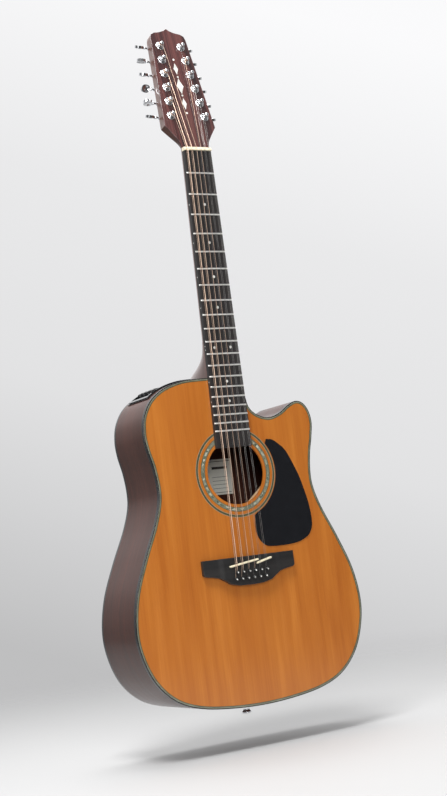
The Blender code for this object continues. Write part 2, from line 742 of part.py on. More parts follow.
def preamp():
    (start, end), (near, far) = PREAMP_SPAN, PREAMP_DEPTHS
    rim = PREAMP_RIM
    case = curved_box(PREAMP_SPAN, PREAMP_DEPTHS, (0.6 * MM, PREAMP_PROUD))
    tub = curved_box((start + rim, end - rim), (near + rim, far - rim), (-28 * MM, 1.5 * MM))
    join(case, tub, bay_box(*BATTERY_BAY))
    recess = curved_box(
        (start + rim + 2 * MM, end - rim - 2 * MM),
        (near + rim + 2 * MM, far - rim - 2 * MM), (-3.5 * MM, 12 * MM),
    )
    inset = rim + 2 * MM + PREAMP_WALL
    hollow = curved_box(
        (start + inset, BATTERY_STATION - 15 * MM),
        (near + inset, far - inset), (-26 * MM, -6 * MM),
    )
    knob_places = [panel_place(KNOB_STATION, depth) for depth in KNOB_DEPTHS]
    holes = [rod((0, 0, -9 * MM), (0, 0, 2 * MM), KNOB_BORE, 8, at) for at in knob_places]
    button_at = panel_place(TUNER_BUTTON_STATION, TUNER_BUTTON_DEPTH)
    holes.append(rod((0, 0, -9 * MM), (0, 0, 2 * MM), BUTTON_BORE, 8, button_at))
    cut(case, recess, hollow, bay_box(*BATTERY_ROOM), gather(holes))
    part("preamp_housing", case, BLACK_PLASTIC)

    knob = [(r * MM, h * MM) for r, h in KNOB_PROFILE]
    for name, at in zip(KNOB_NAMES, knob_places):
        part("preamp_knob_" + name, turned(knob, 12), BLACK_PLASTIC, at)
    plunger = turned([(r * MM, h * MM) for r, h in BUTTON_PROFILE], 10)
    part("preamp_tuner_button", plunger, BONE, button_at)

    along, deep, tall = (side / 2 for side in BATTERY_SIZE)
    at = panel_place(BATTERY_STATION, BATTERY_DEPTH)
    cell_end = BATTERY_TOP - 2 * tall
    tray = box((-along - 1.4 * MM, -deep - 1.6 * MM, cell_end - 1.4 * MM),
               (along + 1.4 * MM, deep + 1.6 * MM, 0.5 * MM))
    pocket = box((-along - GAP, -deep - GAP, cell_end - GAP),
                 (along + 10 * MM, deep + GAP, BATTERY_TOP + GAP))
    part("battery_tray", cut(tray, pocket), BLACK_PLASTIC, at)
    cell = box((-along, -deep, cell_end), (along, deep, BATTERY_TOP))
    part("battery", cell, STEEL, at)


# ---------------------------------------------------------------- neck, board and strings

def fret_distance(number):
    return SCALE_LENGTH * (1 - 2 ** (-number / 12))


NUT_HEIGHT = BODY_LENGTH + fret_distance(BODY_FRET)
FRETBOARD_END = NUT_HEIGHT - FRETBOARD_LENGTH

HEAD = Matrix.Translation((0, HEAD_FACE_AT_NUT, NUT_HEIGHT)) @ Matrix((
    (1, 0, 0, 0),
    (0, math.sin(HEAD_TILT), -math.cos(HEAD_TILT), 0),
    (0, math.cos(HEAD_TILT), math.sin(HEAD_TILT), 0),
    (0, 0, 0, 1),
))


def board_half_width(height):
    return NUT_HALF_WIDTH + FRETBOARD_TAPER * (NUT_HEIGHT - height)


def board_top(x):
    """Depth of the fretboard's cambered playing face."""
    return FRETBOARD_TOP + x**2 / (2 * FRETBOARD_RADIUS)


def board_base(x):
    """Depth of the fretboard's glued face, which is flat."""
    return -GAP


def fret_crown(x):
    return board_top(x) - FRET_HEIGHT


def fret_tang(x):
    return board_top(x) + 1 * MM


def cambered(height, half, top, base):
    """A section across the neck at one height, between two faces given as depths."""
    flats = 4
    xs = [half * (2 * k / flats - 1) for k in range(flats + 1)]
    over = [(x, top(x), height) for x in xs]
    under = [(x, base(x), height) for x in reversed(xs)]
    return over + under


def fretboard():
    board = loft([
        cambered(height, board_half_width(height), board_top, board_base)
        for height in (FRETBOARD_END, NUT_HEIGHT - GAP)
    ])
    frets = []
    for number in range(1, FRET_COUNT + 1):
        middle = NUT_HEIGHT - fret_distance(number)
        half = board_half_width(middle) - 0.4 * MM
        frets.append(loft([
            cambered(middle + side * FRET_WIDTH / 2, half, fret_crown, fret_tang)
            for side in (-1, 1)
        ]))
    part("fretboard", join(board, gather(frets)), ROSEWOOD)


def neck_section(height, half, depth):
    """Half an ellipse behind the fretboard, cut off flat at the heel's cap."""
    flats = 10
    points = []
    for k in range(flats + 1):
        angle = math.pi * k / flats
        points.append((half * math.cos(angle), min(depth * math.sin(angle), HEEL_CAP), height))
    return points


def head_loop():
    right = [(u * MM, w * MM) for u, w in HEAD_HALF_OUTLINE]
    return right + [(-u, w) for u, w in right[-2::-1]]


def post_places():
    """For each side, the posts' centres in the head's plane, from the nut to the tip."""
    places = {}
    for name, sign in (("bass", -1), ("treble", 1)):
        near, far = POST_HALF_SPACING
        places[name] = [
            Vector((sign * (near + (far - near) * i / (TUNERS_A_SIDE - 1)), FIRST_POST + POST_PITCH * i))
            for i in range(TUNERS_A_SIDE)
        ]
    return places


def post_holes():
    spots = [spot for side in post_places().values() for spot in side]
    return gather([
        rod((spot.x, spot.y, -40 * MM), (spot.x, spot.y, 10 * MM), POST_BORE, 8, HEAD)
        for spot in spots
    ])


def neck():
    sections = []
    for above, depth in NECK_DEPTHS:
        height = HEEL_FACE + above * MM
        sections.append(neck_section(height, board_half_width(height), depth * MM))
    top = NUT_HEIGHT + GAP + NUT_LENGTH + GAP
    sections.append(neck_section(top, NUT_HALF_WIDTH, 16 * MM))
    shaft = loft(sections)
    head = slab([head_loop()], -HEAD_THICKNESS, -HEADPLATE_THICKNESS - GAP, HEAD)
    join(shaft, tenon(0), head)
    part("neck", cut(shaft, rod_channel(), post_holes()), RED_MAHOGANY)

    veneer = slab([head_loop()], -HEADPLATE_THICKNESS, 0, HEAD)
    part("headplate", cut(veneer, post_holes()), ROSEWOOD)

    half = NUT_HALF_WIDTH
    start = NUT_HEIGHT + GAP
    bone = box((-half, NUT_TOP, start), (half, -GAP, start + NUT_LENGTH))
    part("nut", bone, BONE)


def truss_rod():
    middle = sum(ROD_DEPTHS) / 2
    steel = box((-ROD_HALF_WIDTH, ROD_DEPTHS[0], 436 * MM), (ROD_HALF_WIDTH, ROD_DEPTHS[1], 830 * MM))
    barrel = rod((0, middle, 424 * MM), (0, middle, 438 * MM), 3.0 * MM, 10)
    socket = rod((0, middle, 420 * MM), (0, middle, 432 * MM), 1.6 * MM, 6)
    part("truss_rod", cut(join(steel, barrel), socket), STEEL)


def saddle_box(ends, grow, depths):
    (x0, z0), (x1, z1) = ends
    start, end = Vector((x0, 0, z0)) * MM, Vector((x1, 0, z1)) * MM
    along = (end - start).normalized()
    inward = Vector((0, 1, 0))
    place = Matrix.Translation((start + end) / 2) @ Matrix(
        (along, inward, along.cross(inward))
    ).transposed().to_4x4()
    length = (end - start).length / 2 + grow
    across = SADDLE_WIDTH / 2 + grow
    return box((-length, depths[0], -across), (length, depths[1], across), place)


def bridge():
    right = [(x * MM, z * MM) for x, z in BRIDGE_HALF_OUTLINE]
    loop = [(-x, z) for x, z in right] + [(0, 180 * MM)] + right[::-1]
    body = plate([loop, *pin_holes()], BRIDGE_TOP, -GAP)
    slot_floor = BRIDGE_TOP + SADDLE_SLOT_DEPTH
    reach = (BRIDGE_TOP - 5 * MM, slot_floor)
    slots = [saddle_box(ends, GAP, reach) for ends in (LONG_SADDLE, SHORT_SADDLE)]
    part("bridge", cut(body, *slots), BLACK_PLASTIC)
    for name, ends in (("saddle_long", LONG_SADDLE), ("saddle_short", SHORT_SADDLE)):
        part(name, saddle_box(ends, 0, (SADDLE_TOP, slot_floor - GAP)), BONE)


def pickguard():
    edge = [(x * MM, z * MM) for x, z in PICKGUARD_OUTLINE]
    radius = ROSETTE_OUTER + 1.2 * MM
    for k in range(11):
        angle = math.radians(-66 + 101 * k / 10)
        edge.append((radius * math.cos(angle), SOUNDHOLE_HEIGHT + radius * math.sin(angle)))
    part("pickguard", plate([edge], -PICKGUARD_THICKNESS, -GAP), BLACK_PLASTIC)


def saddle_height(x):
    """Where a string at x crosses its saddle."""
    (x0, z0), (x1, z1) = LONG_SADDLE if x < 12.5 * MM else SHORT_SADDLE
    return (z0 + (z1 - z0) * (x / MM - x0) / (x1 - x0)) * MM


def strings():
    posts = post_places()
    lift = STRING_RADIUS + GAP
    wires = []
    for index in range(2 * COURSES):
        middle, side = course(index)
        at_saddle = middle * COURSE_SPACING + side * PAIR_HALF_AT_SADDLE
        at_nut = middle * COURSE_SPACING_AT_NUT + side * PAIR_HALF_AT_NUT
        if index < COURSES:
            post, inward = posts["bass"][index], 1
        else:
            post, inward = posts["treble"][2 * COURSES - 1 - index], -1
        wrap = post.x + inward * (POST_RADIUS + lift)
        x, z = pin_place(index)
        nut_height = NUT_HEIGHT + GAP + NUT_LENGTH / 2
        wires.append(wire([
            HEAD @ Vector((wrap, post.y, 6 * MM)),
            (at_nut, NUT_TOP - lift, nut_height + 2.5 * MM),
            (at_nut, NUT_TOP - lift, nut_height - 2.5 * MM),
            (at_saddle, SADDLE_TOP - lift, saddle_height(at_saddle)),
            (x, BRIDGE_TOP - 1.3 * MM, z + 2.2 * MM),
            (x, BRIDGE_TOP + 0.6 * MM, z + 0.5 * MM),
            (x, 8.2 * MM, z + 0.5 * MM),
        ], STRING_RADIUS))
    anchor = box(*BALL_END_BLOCK)
    part("strings", join(anchor, gather(wires)), BRONZE)


# ---------------------------------------------------------------- tuners

def tuner_place(side, spot):
    """A frame at a post: Y up the head's edge, Z out of its face, X to the treble side."""
    lean = HEAD_EDGE_LEAN if side > 0 else -HEAD_EDGE_LEAN
    return HEAD @ Matrix.Translation((spot.x, spot.y, TUNER_DEPTH)) @ Matrix.Rotation(lean, 4, "Z")


def gear():
    """A tooth gap faces the worm, which lies along +Y from here."""
    outline = []
    for k in range(GEAR_TEETH):
        middle = math.pi / 2 + 2 * math.pi * (k + 0.5) / GEAR_TEETH
        for radius, half in ((GEAR_ROOT, -0.55), (GEAR_TIP, -0.2), (GEAR_TIP, 0.2), (GEAR_ROOT, 0.55)):
            angle = middle + half * MM / radius
            outline.append((radius * math.cos(angle), radius * math.sin(angle)))
    return slab([outline], -GEAR_HALF_WIDTH, GEAR_HALF_WIDTH, Matrix())


def post():
    face = -TUNER_DEPTH
    profile = (
        (0, face + POST_ABOVE_FACE), (POST_RADIUS, face + POST_ABOVE_FACE),
        (POST_RADIUS, -2.9 * MM), (0, -2.9 * MM),
    )
    return join(turned(profile, 10), gear())


def worm_thread(side):
    """A helix of trapezoid section about X. Its crest faces the gear, towards -Y, at x = 0."""
    sections = []
    count = WORM_TURNS * WORM_STEPS
    root = WORM_ROOT - 0.4 * MM
    for k in range(count + 1):
        turn = k / WORM_STEPS - WORM_TURNS / 2
        angle = 2 * math.pi * turn
        section = []
        for radius, half in ((root, -0.6), (WORM_TIP, -0.2), (WORM_TIP, 0.2), (root, 0.6)):
            x = side * (WORM_PITCH * turn + half * MM)
            section.append((x, -radius * math.cos(angle), -radius * math.sin(angle)))
        sections.append(section)
    return loft(sections)


def button_paddle(side, roll):
    """The flat finger piece on the shaft's outer end."""
    right = [(side * x * MM, y * MM) for x, y in BUTTON_HALF_OUTLINE]
    outline = right + [(x, -y) for x, y in reversed(right)]
    place = Matrix.Rotation(math.radians(roll), 4, "X")
    return slab([outline], -BUTTON_HALF_THICKNESS, BUTTON_HALF_THICKNESS, place)


def housing_boxes(side, spots):
    """The six cases on one side of the head, on the strip that carries them."""
    cases, hollows, post_bores, shaft_bores = [], [], [], []
    wall = HOUSING_WALL
    tall = HOUSING_HALF_HEIGHT
    (x0, y0), (x1, y1) = HOUSING_LOW, HOUSING_HIGH
    for spot in spots:
        at = tuner_place(side, spot)
        cases.append(box((x0, y0, -tall), (x1, y1, tall), at))
        hollows.append(box((x0 + wall, y0 + wall, wall - tall), (x1 - wall, y1 - wall, tall - wall), at))
        post_bores.append(rod((0, 0, 0), (0, 0, 10 * MM), 3.7 * MM, 8, at))
        reach = Vector((side * 12 * MM, WORM_CENTRE, 0))
        shaft_bores.append(rod((0, WORM_CENTRE, 0), reach, 2.1 * MM, 8, at))
    first, last = tuner_place(side, spots[0]), tuner_place(side, spots[-1])
    length = (last.translation - first.translation).length
    strip = box((-2 * MM, 0, tall - 0.9 * MM), (2 * MM, length, tall - 0.1 * MM), first)
    joined = join(strip, gather(cases))
    return cut(joined, gather(hollows), gather(post_bores), gather(shaft_bores))


def tuners():
    number = 0
    for name, side in (("bass", -1), ("treble", 1)):
        spots = post_places()[name]
        part("tuner_housings_" + name, housing_boxes(side, spots), CHROME)
        for spot, roll in zip(spots, BUTTON_ROLL[name]):
            number += 1
            at = tuner_place(side, spot)
            part(f"tuner_post_{number:02d}", post(), CHROME, at)
            shaft = rod((-side * 4.5 * MM, 0, 0), (side * 20 * MM, 0, 0), WORM_ROOT, 8)
            join(shaft, worm_thread(side), button_paddle(side, roll))
            shaft_at = at @ Matrix.Translation((0, WORM_CENTRE, 0))
            part(f"tuner_button_{number:02d}", shaft, CHROME, shaft_at)


soundboard()
back_panel()
sides()
linings()
blocks()
top_bracing()
back_bracing()
endpin_jack()
preamp()
fretboard()
neck()
truss_rod()
bridge()
pickguard()
strings()
tuners()
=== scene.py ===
"""The looks of a twelve-string acoustic guitar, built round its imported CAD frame.

Metres; +Z runs up the neck, -Y is the front, +X is the treble side.
"""

import json
import math

import bmesh
import bpy
from mathutils import Matrix, Vector

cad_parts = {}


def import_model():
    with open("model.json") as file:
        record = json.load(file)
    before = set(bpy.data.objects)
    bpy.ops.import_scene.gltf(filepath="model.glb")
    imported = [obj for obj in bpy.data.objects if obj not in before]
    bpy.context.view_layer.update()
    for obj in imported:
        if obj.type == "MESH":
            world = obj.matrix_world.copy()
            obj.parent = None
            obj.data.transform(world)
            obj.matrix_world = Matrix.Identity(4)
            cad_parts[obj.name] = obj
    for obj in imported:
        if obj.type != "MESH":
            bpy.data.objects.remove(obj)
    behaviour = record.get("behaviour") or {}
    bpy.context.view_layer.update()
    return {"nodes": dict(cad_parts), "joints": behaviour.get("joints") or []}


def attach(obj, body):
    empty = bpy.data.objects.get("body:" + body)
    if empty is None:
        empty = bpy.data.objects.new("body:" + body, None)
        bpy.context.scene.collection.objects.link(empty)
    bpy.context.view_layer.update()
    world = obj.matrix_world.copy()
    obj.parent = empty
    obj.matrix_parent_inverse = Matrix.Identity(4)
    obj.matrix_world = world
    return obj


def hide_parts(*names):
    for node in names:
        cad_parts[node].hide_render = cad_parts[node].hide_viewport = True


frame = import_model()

MM = 0.001
BODY = "body"
COAT_ROUGHNESS = 0.04
FLATS = 16  # strips across a cambered piece

# Body
BODY_LENGTH = 499.5 * MM
WIDEST_HALF = 198 * MM
SOUNDBOARD_THICKNESS = 2.8 * MM
BACK_THICKNESS = 2.5 * MM
DEPTH_AT_TAIL = 129.4 * MM
DEPTH_SLOPE = 0.0653
BACK_ARCH_RADIUS = 4500 * MM
BINDING_WIDTH = 1.6 * MM
PURFLING_WIDTH = 2.9 * MM
GAP = 0.3 * MM
OUTLINE_STEPS = 10
# Inset from the rim and depth behind the face, in millimetres
BINDING_SECTION = ((0, 6), (0, 0.8), (0.25, 0.25), (0.8, 0), (1.6, 0), (1.6, 6))

# Distance from the centre line and height above the tail, up the bass half
HALF_OUTLINE = (
    (0, 0), (58, 3), (108, 11), (146, 27), (175, 56), (192, 94), (197.8, 135),
    (190, 185), (170, 236), (148, 283), (137, 316), (135.2, 340), (139, 370),
    (146, 398), (148.3, 422), (144, 447), (130, 470), (107, 486.5), (75, 496.5),
    (38, 499.2), (0, 499.5),
)
TREBLE_LEAVES_AT = 14
CUTAWAY_OUTLINE = (
    (149.6, 419), (146.5, 438), (137, 451.5), (124, 455.2), (110, 450), (91, 438),
    (71, 432.4), (51, 438), (38.5, 449.5), (34.3, 465), (32.6, 482), (32, 499.5),
)

# Soundhole and rosette
SOUNDHOLE_HEIGHT = 351.6 * MM
SOUNDHOLE_RADIUS = 49 * MM
ROSETTE_DEPTH = 0.8 * MM
LABEL = ((10.5, 325), (54.5, 382))

# Bridge
BRIDGE_TOP = -9.0 * MM
SADDLE_TOP = -12.2 * MM
SADDLE_WIDTH = 3.0 * MM
SADDLE_SLOT_DEPTH = 3.6 * MM
LONG_SADDLE = ((-36.5, 210.0), (14.3, 216.8))
SHORT_SADDLE = ((10.6, 211.1), (37.5, 217.3))
PIN_ROWS = (190.5 * MM, 200.5 * MM)
PIN_STAGGER = 1.7 * MM
COURSE_SPACING = 10.5 * MM
COURSE_SPACING_AT_NUT = 7.9 * MM
PAIR_HALF_AT_SADDLE = 1.25 * MM
PAIR_HALF_AT_NUT = 1.0 * MM
COURSES = 6
# Across the courses from bass to treble, the left string of each pair and then the right one
STRING_RADII = (0.34, 0.60, 0.23, 0.50, 0.16, 0.38, 0.13, 0.29, 0.18, 0.18, 0.14, 0.14)
THINNEST_WOUND = 0.22
THICK_STRING = 0.3 * MM
# A string's turns on its post, for thick strings and thin ones
COIL_TURNS = (2.5, 3.5)
COIL_RADIUS = 2.6 * MM
COIL_ABOVE_FACE = 5.0 * MM
COIL_PITCH = 2.1  # in radii of the string
SADDLES_PART_AT = 12.5 * MM
# Half the bridge's outline, and its profile from the middle out: across and depth
BRIDGE_HALF = (
    (80, 223.5), (80, 202), (77, 199.5), (63, 197.5), (53, 195), (44, 190), (36, 184.5), (20, 180.8),
)
BRIDGE_PROFILE = ((44, -9.0), (47, -8.7), (52, -7.4), (56, -7.0), (82, -6.6))
PICKGUARD_OUTLINE = (
    (60.5, 398.5), (70.7, 397), (82, 389.5), (93, 378.5), (103, 358.5), (111, 339.5), (118, 315.5),
    (123, 293.5), (125, 273.5), (124, 257.5), (117.5, 245.5), (108, 239.5), (97, 235.5), (82, 233.5),
    (65, 233), (50, 233.5), (38, 235.5), (29, 243), (24, 253), (22.5, 265.5), (24, 283.5),
)
PICKGUARD_RADIUS = 70.3 * MM
PICKGUARD_ARC = (-66, 101)  # start and sweep round the soundhole, in degrees

# Neck and fretboard
SCALE_LENGTH = 644 * MM
FRET_COUNT = 20
BODY_FRET = 14
NUT_HALF_WIDTH = 23.9 * MM
FRETBOARD_TAPER = 6.5 / 441.2
FRETBOARD_LENGTH = 466.8 * MM
FRETBOARD_TOP = -8.0 * MM
FRETBOARD_RADIUS = 400 * MM
FRET_HEIGHT = 1.0 * MM
FRET_WIDTH = 2.4 * MM
NUT_LENGTH = 5.5 * MM
NUT_TOP = -10.6 * MM
DOT_RADIUS = 2.2 * MM
HEEL_CAP = 94 * MM
# Height above the body joint and depth of the neck's back there
NECK_DEPTHS = (
    (0, 112), (7, 103), (14, 86), (21, 66), (29, 46), (39, 31), (54, 21.5), (76, 17.5),
    (216, 16.8), (357.4, 16),
)
# Fret number behind which dots sit, and how far across the board in millimetres
POSITION_DOTS = (
    (3, (0,)), (5, (0,)), (7, (0,)), (9, (0,)), (12, (-14, 14)), (15, (0,)), (17, (0,)),
)

# Headstock, in its own plane: u across, w up the head, h out of its face
HEAD_TILT = math.radians(12.7)
HEAD_FACE_AT_NUT = -3.8 * MM
HEAD_THICKNESS = 16 * MM
HEADPLATE_THICKNESS = 2.5 * MM
HEAD_HALF_OUTLINE = (
    (24.0, 7.2), (25.3, 13.5), (28.3, 20.5), (33.0, 28), (39.0, 36.5), (45.0, 45),
    (31.6, 206), (29.6, 212.5), (24.0, 216), (13.0, 218), (5.5, 221), (0, 225),
)
FLARE_POINTS = 6  # of them, up to the widest
# Distance up the head and depth behind its face, where the shaft fades into the head's back
HEAD_FADE = ((20, 17.6), (27, 16.7), (34, 15.9), (42, 15.0))
# The flare above the nut: half-width, distance up the head and how square the section is
HEAD_FLARE = (
    (23.9, 6.5, 2.2), (24.4, 10, 2.4), (25.3, 13.5, 2.7), (26.6, 17, 3.1), (28.3, 20.5, 3.7),
    (30.5, 24.2, 4.6), (33.0, 28, 6), (36.0, 32.3, 8), (39.0, 36.5, 11), (42.0, 40.8, 16),
    (45.0, 45, 24), (44.7, 48, 30),
)
# Pearl let into the headplate, up its middle: height, half width and half length; height and radius
HEAD_LOZENGES = ((86, 4.2, 11), (118, 6.2, 15), (150, 4.2, 11))
HEAD_BEADS = ((69, 1.8), (101, 1.6), (135, 1.6), (167, 1.8))

# Tuners
SIDES = (("bass", -1), ("treble", 1))
TUNERS_A_SIDE = 6
FIRST_POST = 62.7 * MM
POST_PITCH = 25.67 * MM
POST_HALF_SPACING = (29.9 * MM, 18.8 * MM)
HEAD_EDGE_LEAN = math.radians(4.7)
WORM_CENTRE = 7.2 * MM
TUNER_DEPTH = -20.6 * MM
# How far each button is turned about its shaft, in degrees
BUTTON_ROLL = {
    "bass": (120, 84, 30, 118, 106, 122),
    "treble": (124, 130, 120, 128, 122, 126),
}
# Half a button's outline: distance from its post and half width, in millimetres
BUTTON_HALF = (
    (18.5, 2.0), (19.4, 3.4), (21.3, 5.1), (24, 6.2), (27, 6.4), (30, 5.9), (32.2, 4.4),
    (33.3, 2.2), (33.5, 0),
)
BUTTON_HALF_THICKNESS = 2.1 * MM
# The round dishes in its faces, in millimetres
BUTTON_DISH_RADIUS = 13
BUTTON_DISH_FROM_POST = 26.2
BUTTON_DISH_LIFT = 0.9
DISH_ANGLES = [math.pi * k / 32 for k in range(33)]
# Height of a post's string hole above the head's face, in millimetres
POST_HOLE = 8.4
# A tuner case with its lug and screw, in millimetres from its post's centre
CASE_CORNERS = ((-7.6, -7.6, -4.3), (7.6, 11.8, 4.3))
LUG_FROM_POST = -9.2
SCREW_FROM_POST = -9.4
LUG_DEPTHS = (2.6, 4.2)

# Preamp in the bass side's shoulder, placed by distance along the side from the tail
PREAMP_SPAN = (633 * MM, 718 * MM)
PREAMP_DEPTHS = (16 * MM, 86 * MM)
PREAMP_PROUD = 2.6 * MM
BATTERY_STATION = 700 * MM
BATTERY_DEPTH = 51 * MM
DISPLAY_STATION = 676 * MM
DISPLAY_DEPTH = 58 * MM
TUNER_BUTTON_STATION = 676 * MM
TUNER_BUTTON_DEPTH = 34 * MM

# Its rim's inset from its outline, and its panel's and tub's place off the side
PREAMP_STEP = 2.2 * MM
PREAMP_EDGE_PROUD = 1.4 * MM
PREAMP_RIM = 4.5 * MM
PREAMP_WALL = 2 * MM
PREAMP_PANEL = -3.5 * MM
PREAMP_TUB_FLOOR = -28 * MM
# Radius, height off the panel and depth of the flutes, in millimetres
KNOB_RINGS = (
    (2.2, -12, 0), (2.2, -2.8, 0), (5.2, -2.8, 0.5), (5.0, 1.0, 0.5), (4.6, 3.6, 0.4),
    (4.2, 4.3, 0.2), (3.5, 4.5, 0),
)
KNOB_FLUTES = 18
KNOB_TICK_STEP = math.radians(50)

# Turned profiles: radius and height in millimetres
PANEL_BUTTON = ((0, -0.5), (1.9, -0.55), (2.6, -0.8), (3.0, -1.4), (3.0, -12), (0, -12))
ENDPIN = (
    (0, 34), (5.2, 34), (5.2, -0.1), (8.2, -0.1), (8.5, -0.4), (8.5, -1.5), (8.2, -1.9),
    (5.6, -3.4), (5.2, -4.4), (5.1, -8.4), (5.5, -9.6), (7.1, -11.5), (7.4, -12.3),
    (7.2, -13.4), (6.6, -14), (3.8, -14), (3.3, -13.5), (3.3, 26), (0, 26),
)
BRIDGE_PIN = (
    (0, 4.4), (1.2, 4.3), (2.2, 3.7), (2.75, 2.7), (2.8, 1.8), (2.5, 1.0), (2.35, 0.4),
    (2.3, -8), (0, -8),
)
BRIDGE_PIN_DOT = ((0, 4.55), (0.8, 4.5), (1.1, 4.3), (1.1, 3.8), (0, 3.8))
WASHER = ((0, 1.0), (6.2, 1.0), (6.8, 0.7), (7.0, 0.3), (7.0, -0.2), (0, -0.2))
NUT_CROWN = ((0, 3.6), (4.4, 3.6), (5.95, 2.6), (6.2, -1), (0, -1))
TUNER_SHAFT = (
    (0, 20), (1.5, 20), (1.5, 18.4), (2.6, 18.2), (2.9, 17.4), (2.6, 16.6), (1.6, 16.2),
    (1.5, -4.5), (0, -4.5),
)
SCREW_HEAD = ((0, 1.1), (0.9, 1.0), (1.6, 0.6), (1.9, 0), (0, 0))

JACK_DEPTH = 58 * MM
JACK_HOLE_RADIUS = 5.6 * MM

# The view: where the camera stands, and its turn about X, Y and Z in degrees
CAMERA_PLACE = (-1.09286, -1.88243, 0.22938)
CAMERA_TURN = (96.2786, 7.1196, -29.24)
CAMERA_LENS = 64.48
FLOOR_HEIGHT = -62 * MM
FLOOR_RADIUS = 2.6
FLOOR_FADE_FROM = 0.25
# Area lights: name, place, aim, size and power in watts
LIGHTS = (
    ("key", (-1.3, -3.0, 1.05), (0, 0, 0.75), (1.4, 1.2), 52),
    ("fill", (2.8, -0.9, 1.1), (0, 0, 0.45), (1.2, 1.6), 6),
    ("overhead", (0, 0.3, 2.3), (0, 0, 0), (1.0, 1.0), 24),
    ("front_overhead", (-0.75, -0.75, 2.2), (0, 0, 0), (0.7, 0.7), 48),
)
# The surroundings: a direction, and the brightness from facing away from it to facing it
# WORLD_SEEN is the backdrop's painted shade: brighter upwards, darker downwards and towards -X and +Y
WORLD_SEEN = (
    (0.35, -0.2, 1), ((0.45, 0.52), (0.50, 0.66), (0.54, 0.76), (0.61, 0.82), (0.68, 0.96)),
)
WORLD_BEHIND = (
    (0.3, 0.8, 0.5), ((0.05, 0.07), (0.35, 0.10), (0.6, 0.15), (0.8, 0.35), (0.92, 0.85)),
)
WORLD_ABOVE = ((0, 0, 1), ((0.55, 0), (0.63, 0.12), (0.78, 0.25), (1.0, 0.12)))


# ---- finishes

# Wood's features to the metre, across the grain and along it
STREAKS = (170.0, 3.5)
FINE_LINES = (950.0, 9.0)
PORES = (2600.0, 70.0)


class NodeTree:
    """The nodes of a material or a world, with short ways to add to them."""

    def __init__(self, owner):
        owner.use_nodes = True
        self.nodes = owner.node_tree.nodes
        self.links = owner.node_tree.links

    def node(self, kind, **inputs):
        made = self.nodes.new("ShaderNode" + kind)
        for name, value in inputs.items():
            socket = made.inputs[name.replace("_", " ")]
            if isinstance(value, bpy.types.NodeSocket):
                self.links.new(value, socket)
            else:
                socket.default_value = value
        return made

    def ramp(self, factor, stops):
        made = self.node("ValToRGB", Fac=factor)
        elements = made.color_ramp.elements
        while len(elements) < len(stops):
            elements.new(0.5)
        for element, (position, colour) in zip(elements, stops):
            element.position = position
            element.color = (*colour, 1)
        return made.outputs["Color"]


class Finish(NodeTree):
    """A Principled material, with short ways to add its pattern."""

    def __init__(self, name, colour, roughness, metallic=0.0, coat=0.0):
        self.material = bpy.data.materials.new(name)
        super().__init__(self.material)
        self.shader = self.nodes["Principled BSDF"]
        self.set("Base Color", (*colour, 1))
        self.set("Roughness", roughness)
        self.set("Metallic", metallic)
        self.set("Coat Weight", coat)
        self.set("Coat Roughness", COAT_ROUGHNESS)

    def set(self, socket, value):
        self.shader.inputs[socket].default_value = value

    def drive(self, socket, output):
        self.links.new(output, self.shader.inputs[socket])

    def place(self, scale, turn=(0, 0, 0)):
        """Coordinates fixed to the piece, turned and then scaled so that 1 is one feature."""
        where = self.node("TexCoord").outputs["Object"]
        where = self.node("Mapping", Vector=where, Rotation=turn).outputs["Vector"]
        return self.node("Mapping", Vector=where, Scale=scale).outputs["Vector"]

    def noise(self, where, detail=2.0, distortion=0.0):
        made = self.node("TexNoise", Vector=where, Scale=1.0, Detail=detail, Distortion=distortion)
        return made.outputs["Fac"]

    def weigh(self, first, second, share):
        """share of the second in a mix with the first."""
        return self.node("Mix", Factor=share, A=first, B=second).outputs["Result"]

    def tint(self, base, over, factor):
        made = self.node("MixRGB", Color1=base, Color2=over, Fac=factor)
        made.blend_type = "MULTIPLY"
        return made.outputs["Color"]

    def bump(self, height, strength, distance):
        made = self.node("Bump", Height=height, Strength=strength, Distance=distance)
        self.drive("Normal", made.outputs["Normal"])

    def vary_roughness(self, factor, low, high):
        made = self.node("MapRange", Value=factor, To_Min=low, To_Max=high)
        self.drive("Roughness", made.outputs["Result"])


def stretched(across, along, axis):
    """Features this many to the metre, long in one axis."""
    scale = [across] * 3
    scale[axis] = along
    return scale


def side_grain(across, along):
    """Grain that runs round the rim, so that only its depth is across the grain."""
    return (along, across, along)


def wood(name, shades, grain, gloss, pores=0.0, turn=(0, 0, 0), broad=(20.0, 1.3), streaky=0.42,
         figure=0.0, sheen=0.5):
    """Wood with broad bands, streaks, fine lines and open pores.

    shades run from the darkest to the lightest; grain(across, along) gives the scale of a feature,
    broad is that scale for the bands, and streaky the streaks' share against them.
    """
    roughness, coat = gloss
    made = Finish(name, shades[1], roughness, coat=coat)
    made.set("Specular IOR Level", sheen)
    bands = made.noise(made.place(grain(*broad), turn), 2.0, figure)
    streaks = made.noise(made.place(grain(*STREAKS), turn), 3.0)
    lines = made.noise(made.place(grain(*FINE_LINES), turn), 2.0)
    pattern = made.weigh(made.weigh(bands, streaks, streaky), lines, 0.3)
    stops = [(0.34 + 0.32 * k / (len(shades) - 1), shade) for k, shade in enumerate(shades)]
    colour = made.ramp(pattern, stops)
    if pores:
        dashes = made.noise(made.place(grain(*PORES), turn), 1.0)
        mask = made.ramp(dashes, [(0.34, (0.25, 0.22, 0.2)), (0.44, (1, 1, 1))])
        colour = made.tint(colour, mask, pores)
    made.drive("Base Color", colour)
    made.vary_roughness(streaks, roughness * 0.8, roughness * 1.25)
    made.bump(lines, 0.12 if coat else 0.35, 0.1 * MM)
    return made.material


def upright(across, along):
    return stretched(across, along, 2)


def crosswise(across, along):
    return stretched(across, along, 0)


